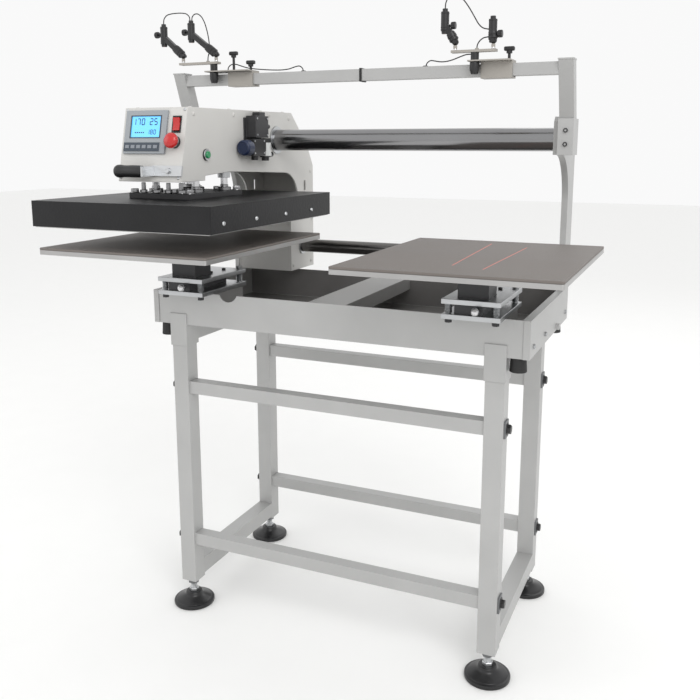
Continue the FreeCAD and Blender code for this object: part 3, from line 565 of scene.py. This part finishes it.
class HEATPRESS_OT_end_frames(PressPieces, bpy.types.Operator):
    """End plates, guide tubes, post blocks and the laser portal"""
    bl_idname = "heatpress.end_frames"
    bl_label = "End frames"

    def execute(self, context):
        edge = context.scene.press_finish.edge_round / MM
        for side in ("left", "right"):
            part_finish("end_plate_" + side, "frame", "plate_white", "silver_paint", edge * 1.5, 3)
        # the upper guide tube gets the darkened steel: painted reflection on chrome
        part_finish("guide_tube_upper", "frame", "chrome", "ground_steel_painted_reflection", 0.5)
        # the lower guide tube gets darkened chrome: painted reflection
        part_finish("guide_tube_lower", "frame", "chrome", "steel_painted_dark_reflection", 0.5)
        part_finish("post_blocks", "frame", "charcoal_paint", "silver_paint", 1.2, 3)
        portal = part_finish("laser_frame", "frame", "plate_white", "silver_paint", edge * 1.2, 3)
        second_finish(portal, "rubber", lambda p: at(11.5, 0, 0).x < p.x < at(17.5, 0, 0).x)
        for side, word in ((-1, "left"), (1, "right")):
            screws = [socket_screw("s", (side * 458, 190.2, z), (0, -1, 0), 4.6, 4.5) for z in (1126, 1154)]
            dress(merge("post_screws_" + word, *screws), "frame", "zinc", "dark_paint")
            rings = []
            for y, z, r in ((256, 1136, 25), (392, 862, 17)):
                steps = [(r - 4, 0), (r + 4.2, 0), (r + 5, 0.8), (r + 5, 4.2), (r + 4.0, 5.2), (r - 3, 5.2),
                         (r - 4, 4)]
                rings.append(turned("r", steps, (side * 441.5, y, z), (side, 0, 0), 48))
                for k in range(3):
                    a = math.radians(90 + 120 * k)
                    spot = (side * 442, y + (r + 13) * math.cos(a), z + (r + 13) * math.sin(a))
                    rings.append(socket_screw("s", spot, (side, 0, 0), 4.2, 4.0))
            dress(merge("tube_end_caps_" + word, *rings), "frame", "zinc", "grey_paint")
            foot = [socket_screw("s", (side * 442, y, 735), (side, 0, 0), 5.0, 4.5) for y in (30, 150, 400)]
            dress(merge("tray_screws_" + word, *foot), "frame", "zinc", "zinc")
        return {"FINISHED"}


class HEATPRESS_OT_stations(PressPieces, bpy.types.Operator):
    """Pedestals, lower platens and pads of both stations"""
    bl_idname = "heatpress.stations"
    bl_label = "Press stations"

    def execute(self, context):
        part_finish("pedestal_plates", "frame", "dark_paint", "zinc", 1.0, 3)
        part_finish("pedestal_blocks", "frame", "charcoal_paint", "dark_paint", 1.0)
        bolts = part_finish("pedestal_bolts", "frame", "zinc", "zinc", 0.5)
        second_finish(bolts, "dark_paint", lambda p: p.z < 792.1 * MM)
        part_finish("lower_platens", "frame", "platen_alu", "aluminium", 0.8, 3)
        part_finish("silicone_pads", "frame", "silicone", "pad_cloth", 1.4, 3)
        ball = [(2.0, 0), (4.8, 0.9), (6.9, 2.8), (7.9, 5.9), (8.0, 8.0), (7.5, 10.8), (6.0, 13.3),
                (3.6, 15.2), (1.0, 16)]
        for x, side in zip(STATIONS, ("left", "right")):
            spring = []
            for dx in (-47, 47):
                for y in (-36, 128):
                    steps = [(5.2, 803.0)]
                    for k in range(6):
                        z = 804.0 + 3.0 * k
                        steps += [(7.2, z), (7.6, z + 0.7), (7.2, z + 1.4), (5.4, z + 2.0)]
                    spring.append(turned("coil", steps, (x + dx, y, 0), sides=24))
            dress(merge("standoff_springs_" + side, *spring), "frame", "zinc", "zinc")
            knob = turned("latch_ball_" + side, ball, (x + 12, -52, 813), (0, -1, 0), 32)
            stem = turned("stem", [(3.8, 0), (4.0, 0.5), (4.0, 41)], (x + 12, -13, 813), (0, -1, 0), 24)
            latch = merge("latch_knob_" + side, knob, stem)
            dress(latch, "knob_" + side, "chrome", "chrome", "lock_knob_" + side)
            seats = [socket_screw("s", (x + dx, y, 832), (0, 0, 1), 4.5, 4.0)
                     for dx in (-22, 22) for y in (45, 100)]
            dress(merge("carriage_screws_" + side, *seats), "frame", "zinc", "dark_paint")
        return {"FINISHED"}


class HEATPRESS_OT_head(PressPieces, bpy.types.Operator):
    """Side plates, cover, front panel, deck, bushes and cylinder of the shuttle head"""
    bl_idname = "heatpress.head"
    bl_label = "Shuttle head"

    def execute(self, context):
        edge = context.scene.press_finish.edge_round / MM
        part_finish("head_side_plates", "head", "plate_white", "head_paint", edge, 3)
        part_finish("head_cover", "head", "charcoal_paint", "head_paint", edge * 0.6, 2)
        part_finish("control_panel", "head", "panel_grey", "head_paint", edge, 3)
        part_finish("cylinder_deck", "head", "zinc", "dark_paint", 0.8)
        part_finish("head_bushes", "head", "bronze", "zinc", 0.6)
        part_finish("air_cylinder", "head", "platen_alu", "aluminium", 1.0)
        for x, out, word in ((HEAD_LEFT, -1, "left"), (HEAD_RIGHT, 1, "right")):
            spots = [(-95, 1188), (60, 1190), (220, 1194), (320, 1188), (440, 1055), (444, 930), (440, 815),
                     (338, 815)]
            heads = [turned("s", SCREW_HEAD, (x, y, z), (out, 0, 0), 20) for y, z in spots]
            dress(merge("cheek_screws_" + word, *heads), "head", "plate_white", "head_paint")
        edges_x = (HEAD_LEFT + 12, HEAD_RIGHT - 12)
        rows = [turned("s", SCREW_HEAD, (x, *spot), (0, *out), 20) for x in edges_x
                for spot, out in (((443.5, 1091), (40, 25)), ((406, 1136.5), (51, 50)))]
        rows += [turned("s", SCREW_HEAD, (x, y, 1201.7 + y * 0.0067), (0, 0, 1), 20)
                 for x in edges_x for y in (-90, 60, 200, 310)]
        dress(merge("cover_screws", *rows), "head", "plate_white", "head_paint")
        corners = [Vector(at(*on_panel(x, z, 0))) for x in (-399, -255) for z in (1058, 1196)]
        steps = [(3.4, 0), (3.2, 0.9), (2.2, 1.7), (1.2, 1.9)]
        screws = [turned("s", steps, None, PANEL_OUT, 18, place=spot) for spot in corners]
        dress(merge("panel_screws", *screws), "head", "panel_grey", "zinc")
        return {"FINISHED"}


SEGMENTS = {"0": "abcdef", "1": "bc", "2": "abged", "3": "abgcd", "5": "afgcd", "7": "abc", "8": "abcdefg"}


class HEATPRESS_OT_controls(PressPieces, bpy.types.Operator):
    """Controller, rocker, emergency button, start button and handle"""
    bl_idname = "heatpress.controls"
    bl_label = "Controls"

    def digit(self, value, x, z, wide, tall, thick):
        """Segments of one display digit round a point on the panel."""
        bars = {"a": (0, tall / 2, wide, thick), "g": (0, 0, wide, thick), "d": (0, -tall / 2, wide, thick),
                "f": (-wide / 2, tall / 4, thick, tall / 2), "b": (wide / 2, tall / 4, thick, tall / 2),
                "e": (-wide / 2, -tall / 4, thick, tall / 2), "c": (wide / 2, -tall / 4, thick, tall / 2)}
        made = []
        for letter in SEGMENTS[value]:
            dx, dz, w, h = bars[letter]
            w, h = max(w - 0.5, thick), max(h - 0.5, thick)
            low = (dx - w / 2, dz - h / 2, 3.9)
            high = (dx + w / 2, dz + h / 2, 4.25)
            made.append(block("seg", low, high, 0.12, 1, turn=panel_frame(x, z)))
        return made

    def execute(self, context):
        part_finish("control_bezel", "head", "bezel", "bezel_film", 0.8, 3)
        part_finish("display", "head", "lcd", "display_glass", 0.3)
        ink = []
        rows = (("170", -375, 1171, 6.4, 12.5, 1.9), ("25", -332, 1171, 6.4, 12.5, 1.9),
                ("180", -338, 1150, 4.6, 9.0, 1.4))
        for text, x0, z, wide, tall, thick in rows:
            for k, value in enumerate(text):
                ink += self.digit(value, x0 + k * wide * 1.75, z, wide, tall, thick)
        for dx in range(5):
            low, high = (dx * 5 - 10, -1.2, 3.9), (dx * 5 - 6.5, 1.2, 4.2)
            ink.append(block("mark", low, high, 0.1, 1, turn=panel_frame(-362, 1149)))
        dress(merge("display_segments", *ink), "head", "bezel", "segment_ink")
        strip = block("key_strip", (-45, -9, 5.1), (45, 9, 6.9), 0.5, turn=panel_frame(-350.5, 1119.5))
        dress(strip, "head", "bezel", "key_strip")
        key = block("keypad_keys", (-5, -3.6, 6.5), (5, 3.6, 7.8), 0.7, 3, turn=panel_frame(-386, 1119.5))
        dress(copies(key, [(14.2 * k, 0, 0) for k in range(1, 6)]), "head", "bezel", "key_grey")
        rim = block("display_rim", (-39, -24, 4.6), (39, 24, 5.5), 0.4, turn=panel_frame(-345, 1160.5))
        hole = block("hole", (-36.2, -21.8, 0), (36.2, 21.8, 9), 0, turn=panel_frame(-345, 1160.5))
        cut = rim.modifiers.new("window", "BOOLEAN")
        cut.operation, cut.object, cut.solver = "DIFFERENCE", hole, "EXACT"
        only(rim)
        bpy.ops.object.modifier_apply(modifier="window")
        bpy.data.objects.remove(hole)
        dress(settle(rim, "display_rim"), "head", "bezel", "key_strip")
        part_finish("control_collars", "head", "plastic_black", "black_plastic", 0.5)
        part_finish("power_rocker", "rocker", "plastic_black", "red_plastic", 0.9, 3)
        self.buttons()
        self.handle()
        return {"FINISHED"}

    def buttons(self):
        """Emergency button on the panel and start button on the right side plate."""
        out = PANEL_OUT
        spot = at(*on_panel(-271, 1130, 0))
        steps = [(7.9, -2), (7.9, 11.6), (13.6, 12.0), (15.6, 13.0), (16.0, 14.6), (16.0, 17.6),
                 (15.2, 19.6), (13.0, 21.8), (9.6, 23.6), (5, 24.7), (1.2, 25)]
        cap = turned("emergency_cap", steps, None, out, 48, place=spot)
        dress(cap, "estop", "red", "red_plastic", "emergency_button")
        steps = [(8.1, 6.0), (12.4, 6.0), (12.6, 6.4), (12.4, 7.4), (8.1, 7.4)]
        ring = turned("emergency_ring", steps, None, out, 40, place=spot)
        dress(ring, "head", "zinc", "zinc")
        spot = (HEAD_RIGHT, -54.5, 1104)
        steps = [(7.9, -7.9), (7.9, 5.6), (7.4, 7.2), (6.2, 8.2), (3.0, 8.4), (0.8, 8.3)]
        green = turned("start_cap", steps, spot, (1, 0, 0), 40)
        dress(green, "start", "green", "green_plastic", "start_button")
        steps = [(8.3, 2.8), (11.8, 2.8), (12.2, 3.4), (11.6, 4.6), (8.6, 4.8)]
        trim = turned("start_trim", steps, spot, (1, 0, 0), 40)
        dress(trim, "head", "zinc", "zinc")

    def handle(self):
        """Bracket under the panel with its grip and bolts."""
        part_finish("handle_bracket", "head", "dark_paint", "zinc", 1.0, 3)
        spot = (-318, on_panel(0, BRACKET_Z)[1] - 30, BRACKET_Z)
        steps = [(8.4, 0), (9.2, 0.6), (10.9, 3), (11.5, 5), (12.2, 14), (12.5, 24), (12.4, 34), (12.1, 44),
                 (12.4, 52), (13.2, 58), (13.5, 62), (13.1, 66), (11.4, 69.6), (9.0, 71), (5.6, 71.3)]
        grip = turned("grip", steps, spot, (-1, 0, 0), 48)
        dress(grip, "head", "plastic_black", "black_plastic", "handle_grip")
        steps = [(5.2, 70.8), (5.4, 71.4), (5.4, 74.0), (4.6, 75.0), (2.6, 75.0), (2.4, 73)]
        end = turned("grip_bolt", steps, spot, (-1, 0, 0), 32)
        dress(end, "head", "zinc", "zinc")
        steps = [(5.6, 4.9), (6.0, 5.4), (6.0, 8.2), (5.2, 9.4), (2.8, 9.4), (2.6, 7)]
        bolt = turned("bracket_bolt", steps, None, PANEL_OUT, 32, place=at(*on_panel(-279, BRACKET_Z)))
        dress(bolt, "head", "zinc", "zinc")


class HEATPRESS_OT_air_unit(PressPieces, bpy.types.Operator):
    """Solenoid valve, regulator and water trap on the head's right side"""
    bl_idname = "heatpress.air_unit"
    bl_label = "Air unit"

    def execute(self, context):
        part_finish("solenoid_valve", "head", "platen_alu", "dark_paint", 1.2, 3)
        part_finish("regulator_body", "head", "plastic_black", "black_plastic", 1.2, 3)
        x = UNIT_X + 13
        bowl = [(10.5, 1097.2), (13.2, 1099), (13.9, 1102), (13.9, 1126), (13.4, 1129.5), (12, 1130.6)]
        cup = turned("water_trap_bowl", bowl, (x, 171, 0), sides=40)
        dress(cup, "head", "plastic_black", "bowl_plastic")
        lid = [(13.4, 1130.4), (14.0, 1131), (14.0, 1139.4), (13.2, 1140)]
        cap = turned("water_trap_cap", lid, (x, 171, 0), sides=40)
        dress(cap, "head", "plastic_black", "black_plastic")
        spot = (UNIT_X + 15, 95.7, 1118)
        knob = [(9, 0), (9, 2.0), (15.6, 2.4), (17.2, 3.6), (17.4, 5.0), (17.4, 25.4), (16.6, 27.6),
                (14.8, 29.2), (12.6, 29.8), (11.8, 28.8), (2.0, 28.6)]
        rib = [(0.5, 5), (0.75, 6.2), (0.75, 24.4), (0.5, 25.6)]
        made = [turned("regulator_dial", knob, spot, (0, -1, 0), 48)]
        for k in range(30):
            a = math.radians(12 * k)
            foot = (spot[0] + 17.2 * math.cos(a), spot[1], spot[2] + 17.2 * math.sin(a))
            made.append(turned("rib", rib, foot, (0, -1, 0), 8))
        dress(merge("regulator_knob_turned", *made), "regulator", "navy", "navy_paint", "regulator_knob")
        parts = []
        for y, z, axis, length in ((166, 1167, (0, 1, 0), 18), (183, 1102.5, (0, 1, 0), 14)):
            steps = [(6.2, 1), (7.2, 1.6), (7.2, length * 0.5), (6.2, length * 0.56)]
            parts.append(turned("n", steps, (x, y, z), axis, 6))
        dress(merge("hose_fitting_nuts", *parts), "head", "zinc", "zinc")
        face_x = UNIT_X + 26
        screws = [socket_screw("s", (face_x, y, z), (1, 0, 0), 2.4, 1.6)
                  for y in (114, 160) for z in (1147, 1184)]
        screws += [socket_screw("s", (face_x, y, z), (1, 0, 0), 2.2, 1.4)
                   for y in (102, 144) for z in (1106, 1133)]
        dress(merge("air_unit_screws", *screws), "head", "zinc", "zinc")
        return {"FINISHED"}


class HEATPRESS_OT_heat_platen(PressPieces, bpy.types.Operator):
    """Heated platen, its housing, mounting plate, guide rods and nuts"""
    bl_idname = "heatpress.heat_platen"
    bl_label = "Heat platen"

    def execute(self, context):
        lid = part_finish("platen_housing", "press", "dark_paint", "hammered_black", 1.2, 3)
        middle, side = at(HEAD_X, 0, 0).x, 218.2 * MM
        second_finish(lid, "zinc", lambda p: abs(p.x - middle) > side)
        part_finish("heating_plate", "press", "platen_alu", "aluminium", 1.0)
        part_finish("mounting_plate", "press", "dark_paint", "dark_paint", 1.0, 3)
        part_finish("guide_rods", "press", "chrome", "chrome", 0.5)
        nuts = []
        for dx in (-70, 70):
            for y in (-108, 78):
                nuts.append(hex_bolt("n", (HEAD_X + dx, y, DECK_Z), (0, 0, 1), 15, 9))
        for dx in (-24, 24):
            for y in (-96, 66):
                nuts.append(hex_bolt("n", (HEAD_X + dx, y, DECK_Z), (0, 0, 1), 13, 8))
        steps = [(15, 0), (15.5, 0.6), (15.5, 6.5), (14.5, 7.5), (9.5, 7.5), (9, 12), (8.1, 13)]
        for dx in (-52, 52):
            for dy in (-62, 50):
                nuts.append(turned("n", steps, (HEAD_X + dx, 4 + dy, DECK_Z), sides=36))
        for dx in (-48, -16, 16, 48):
            nuts.append(hex_bolt("n", (HEAD_X + dx, -106, DECK_Z), (0, 0, 1), 14, 7))
            steps = [(4.4, 6), (4.8, 6.6), (4.8, 21), (4.1, 22)]
            nuts.append(turned("stud", steps, (HEAD_X + dx, -106, DECK_Z), sides=24))
        steps = [(26, 0), (27, 1), (27, 7), (25, 9), (18.5, 9), (18, 14), (16.1, 15)]
        nuts.append(turned("n", steps, (HEAD_X, 4, DECK_Z), sides=48))
        dress(merge("mounting_nuts", *nuts), "press", "zinc", "ground_steel_painted_reflection")
        return {"FINISHED"}


class HEATPRESS_OT_laser_guides(PressPieces, bpy.types.Operator):
    """Clamps, arms, thumbscrews, pointers and leads of the laser guides"""
    bl_idname = "heatpress.laser_guides"
    bl_label = "Laser guides"

    def thumbscrew(self, node, body, x, height):
        """Stem, hub and winged bar of a screw on a clamp."""
        base, top = BAR_TOP, BAR_TOP + height
        stem = turned("stem", [(2.8, base), (3.0, base + 0.5), (3.0, top - 4)], (x, BAR_Y, 0), sides=24)
        hub = turned("hub", [(5.6, top - 5), (6.0, top - 4.4), (6.0, top + 0.5)], (x, BAR_Y, 0), sides=24)
        bar = block("bar", (x - 11, BAR_Y - 5, top), (x + 11, BAR_Y + 5, top + 9), 2.8, 4)
        dress(merge(node + "_finished", bar, stem, hub), body, "plastic_black", "black_plastic", node)

    def pointer(self, node, body, stalk_x, x, z0, z1, knob_x, knob_z, side):
        """Laser pointer with its rings, lens, focus grips and the holder sleeve on its link."""
        part_finish(node, body, "plastic_black", "black_plastic", 0.9, 3)
        rings = []
        for z in (z0 + 8, z0 + 12, z1 - 10):
            steps = [(8.5, z), (8.9, z + 0.5), (8.9, z + 1.6), (8.5, z + 2.1)]
            rings.append(turned("r", steps, (x, LASER_Y, 0), sides=32))
        steps = [(6.6, z0 + 1), (7.0, z0 + 1.6), (7.0, z0 + 5), (6.4, z0 + 6.5)]
        rings.append(turned("r", steps, (x, LASER_Y, 0), sides=32))
        dress(merge(node + "_rings", *rings), body, "plastic_black", "black_plastic")
        lens = turned(node + "_lens", [(4.2, -0.4), (3.6, -0.2), (3.4, 0.6)], (x, LASER_Y, z0), sides=24)
        dress(lens, body, "red", "lens_red")
        reach = Vector((x - stalk_x, 0, (z0 + z1) / 2 - 4 - BALL_Z))
        long = max(18.0, min(30.0, reach.length * 0.5))
        steps = [(4.4, 0.2), (6.8, 1.4), (10.0, 4.6), (10.0, 8), (9.2, 8.6), (9.2, 10.6), (10.0, 11.2),
                 (10.0, long - 6), (9.2, long - 5.4), (9.2, long - 1.4), (8.6, long - 0.4), (6.2, long)]
        sleeve = turned(node + "_holder", steps, (stalk_x, LASER_Y, BALL_Z), reach, 36)
        dress(sleeve, body, "plastic_black", "black_plastic")
        grips = []
        for k in range(12):
            a = math.radians(30 * k)
            foot = min(knob_x, knob_x + side * 9) + 1
            spot = (foot, LASER_Y + 6.8 * math.cos(a), knob_z + 6.8 * math.sin(a))
            grips.append(turned("g", [(0.6, 0), (0.8, 0.6), (0.8, 6.4), (0.6, 7)], spot, (1, 0, 0), 8))
        dress(merge(node + "_grips", *grips), body, "plastic_black", "black_plastic")

    def lead_part(self, whole, name, cuts):
        """What is left of a lead when each plane (axis, place, side kept) has cut it."""
        o = whole.copy()
        o.data = whole.data.copy()
        bpy.context.scene.collection.objects.link(o)
        o.name = name
        for axis, value, kept in cuts:
            normal = [kept if axis == letter else 0 for letter in "xyz"]
            only(o)
            bpy.ops.object.mode_set(mode="EDIT")
            bpy.ops.mesh.select_all(action="SELECT")
            bpy.ops.mesh.bisect(plane_co=at(*[value] * 3), plane_no=normal, clear_inner=True)
            bpy.ops.object.mode_set(mode="OBJECT")
        o.data.materials.clear()
        o.data.materials.append(MATERIALS["lead_sheath"])
        return o

    def leads(self, node, arm, parts):
        """One modelled pair of leads, running between the arm and the pointers, cut by planes into parts.
        """
        whole = machined(node, 0)
        for k, (cuts, laser, start, end) in enumerate(parts):
            o = self.lead_part(whole, "%s_%d" % (node, k + 1), cuts)
            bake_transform(o)
        bpy.data.objects.remove(whole)
        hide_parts(node)

    def execute(self, context):
        for side in ("left", "right"):
            clamp = part_finish("laser_clamp_" + side, "clamp_" + side, "platen_alu", "beige_paint", 1.0, 3)
            arm = part_finish("laser_arm_" + side, "arm_" + side, "plastic_black", "beige_paint", 0.8)
            pivot = -354 if side == "left" else 275
            second_finish(clamp, "black_plastic",
                          lambda p: (p - at(pivot, LASER_Y, 0)).xy.length < 0.0104 and p.z < 1292.6 * MM)
            second_finish(arm, "black_plastic", lambda p: p.z < 1310.9 * MM)
        self.thumbscrew("thumbscrew_left_outer", "screw_left_outer", -316, 36)
        self.thumbscrew("thumbscrew_left_inner", "screw_left_inner", -270, 14)
        self.thumbscrew("thumbscrew_right", "screw_right", 340, 18)
        self.pointer("laser_left_outer", "laser_left_outer", -439, -492, 1356, 1408, -507, 1384, -1)
        self.pointer("laser_left_inner", "laser_left_inner", -347, -414, 1362, 1412, -428, 1386, -1)
        self.pointer("laser_right_outer", "laser_right_outer", 313, 311, 1328, 1380, 322, 1345, 1)
        self.pointer("laser_right_inner", "laser_right_inner", 233, 210, 1350, 1400, 224, 1366, 1)
        steps = [(4.0, 1315.8), (4.3, 1316.5), (4.3, 1319), (3.6, 1320), (3.6, 1325.8)]
        for name, ends in (("left", (-439, -347)), ("right", (233, 313))):
            stalks = [turned("s", steps, (x, LASER_Y, 0), sides=24) for x in ends]
            dress(merge("stalks_" + name, *stalks), "arm_" + name, "chrome", "chrome")
        y = LASER_Y
        self.leads("laser_leads_left", "arm_left", [
            ((("x", -457, -1),), "laser_left_outer", (-457, y, 1400), (-484, y, 1400)),
            ((("x", -457, 1), ("x", -414.1, -1)), "laser_left_inner", (-457, y, 1400), (-430, y, 1400)),
            ((("x", -414.1, 1),), "laser_left_inner", (-370, y, 1325), (-400, y, 1405))])
        self.leads("laser_leads_right", "arm_right", [
            ((("x", 257, -1),), "laser_right_inner", (257, y, 1400), (222, y, 1400)),
            ((("x", 257, 1), ("z", 1347, 1)), "laser_right_outer", (259, y, 1401), (290, y, 1358)),
            ((("x", 257, 1), ("z", 1347, -1)), "laser_right_outer", (279, y, 1321), (300, y, 1339))])
        for side, start, end in (("left", -316, -150), ("right", 250, 176)):
            whole = machined("trailing_lead_" + side, 0)
            whole.data.materials.clear()
            whole.data.materials.append(MATERIALS["lead_sheath"])
            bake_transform(whole)
            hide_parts("trailing_lead_" + side)
        steps = [(5.2, 1288.2), (5.8, 1288.8), (5.6, 1290.4), (3.4, 1291.0)]
        grommets = [turned("g", steps, (x, BAR_Y, 0), sides=28) for x in (-132, 160)]
        dress(merge("lead_grommets", *grommets), "frame", "rubber_black", "rubber")
        return {"FINISHED"}


class HEATPRESS_OT_studio(PressPieces, bpy.types.Operator):
    """Plain floor, soft lights and the camera"""
    bl_idname = "heatpress.studio"
    bl_label = "Studio"

    def light(self, name, place, aim, size, power):
        """Soft square light that looks at a point."""
        bpy.ops.object.light_add(type="AREA", location=place)
        lamp = bpy.context.object
        lamp.name = name
        lamp.data.size = size
        lamp.data.energy = power
        lamp.rotation_euler = (Vector(aim) - Vector(place)).to_track_quat("-Z", "Y").to_euler()
        return lamp

    def execute(self, context):
        studio = context.scene.press_studio
        bpy.ops.object.select_all(action="DESELECT")
        bpy.ops.mesh.primitive_plane_add(size=30.0, location=(0, 0, 0))
        floor = bpy.context.object
        floor.name = "studio_floor"
        finish("floor", studio.floor_colour, 0.0, 0.7, 40, 0.02, 0.005)
        floor.data.materials.append(MATERIALS["floor"])
        key = self.light("key_light", (2.6, -3.0, 3.6), (0, 0, 0.8), 2.6, studio.key_power)
        fill = self.light("fill_light", (-3.4, -2.2, 2.4), (0, 0, 0.8), 2.4, studio.fill_power)
        back = self.light("rim_light", (0.6, 3.4, 3.2), (0, 0, 0.9), 2.4, studio.fill_power)
        world = bpy.data.worlds.new("studio_world")
        context.scene.world = world
        world.use_nodes = True
        sky = world.node_tree.nodes["Background"]
        sky.inputs["Color"].default_value = (1, 1, 1, 1)
        sky.inputs["Strength"].default_value = 0.95
        bpy.ops.object.camera_add(location=at(743.8, -1549.4, 1125.8))
        camera = bpy.context.object
        camera.name = "camera"
        camera.rotation_euler = (math.radians(90 - 10.7), 0, math.radians(23.7))
        camera.data.sensor_width = 36.0
        camera.data.lens = studio.lens
        camera.data.shift_x = -0.0016
        camera.data.shift_y = -0.0724
        camera.data.clip_end = 60.0
        context.scene.camera = camera
        context.scene.view_settings.view_transform = "Standard"
        return {"FINISHED"}


STEPS = (HEATPRESS_OT_finishes, HEATPRESS_OT_stand, HEATPRESS_OT_feet, HEATPRESS_OT_tray,
         HEATPRESS_OT_end_frames, HEATPRESS_OT_stations, HEATPRESS_OT_head, HEATPRESS_OT_controls,
         HEATPRESS_OT_air_unit, HEATPRESS_OT_heat_platen, HEATPRESS_OT_laser_guides, HEATPRESS_OT_studio)


class HEATPRESS_PT_sidebar(bpy.types.Panel):
    """Settings and build steps of the heat press"""
    bl_idname = "HEATPRESS_PT_sidebar"
    bl_label = "Heat press"
    bl_space_type = "VIEW_3D"
    bl_region_type = "UI"
    bl_category = "Heat Press"

    def draw(self, context):
        for group in (context.scene.press_finish, context.scene.press_studio):
            for name in group.__annotations__:
                self.layout.prop(group, name)
        for step in STEPS:
            self.layout.operator(step.bl_idname)


CLASSES = (PressFinish, StudioSettings, *STEPS, HEATPRESS_PT_sidebar)


def register():
    for cls in CLASSES:
        bpy.utils.register_class(cls)
    bpy.types.Scene.press_finish = PointerProperty(type=PressFinish)
    bpy.types.Scene.press_studio = PointerProperty(type=StudioSettings)


def unregister():
    del bpy.types.Scene.press_studio
    del bpy.types.Scene.press_finish
    for cls in reversed(CLASSES):
        bpy.utils.unregister_class(cls)


def main():
    register()
    for step in STEPS:
        group, name = step.bl_idname.split(".")
        getattr(getattr(bpy.ops, group), name)()


if __name__ == "__main__":
    main()
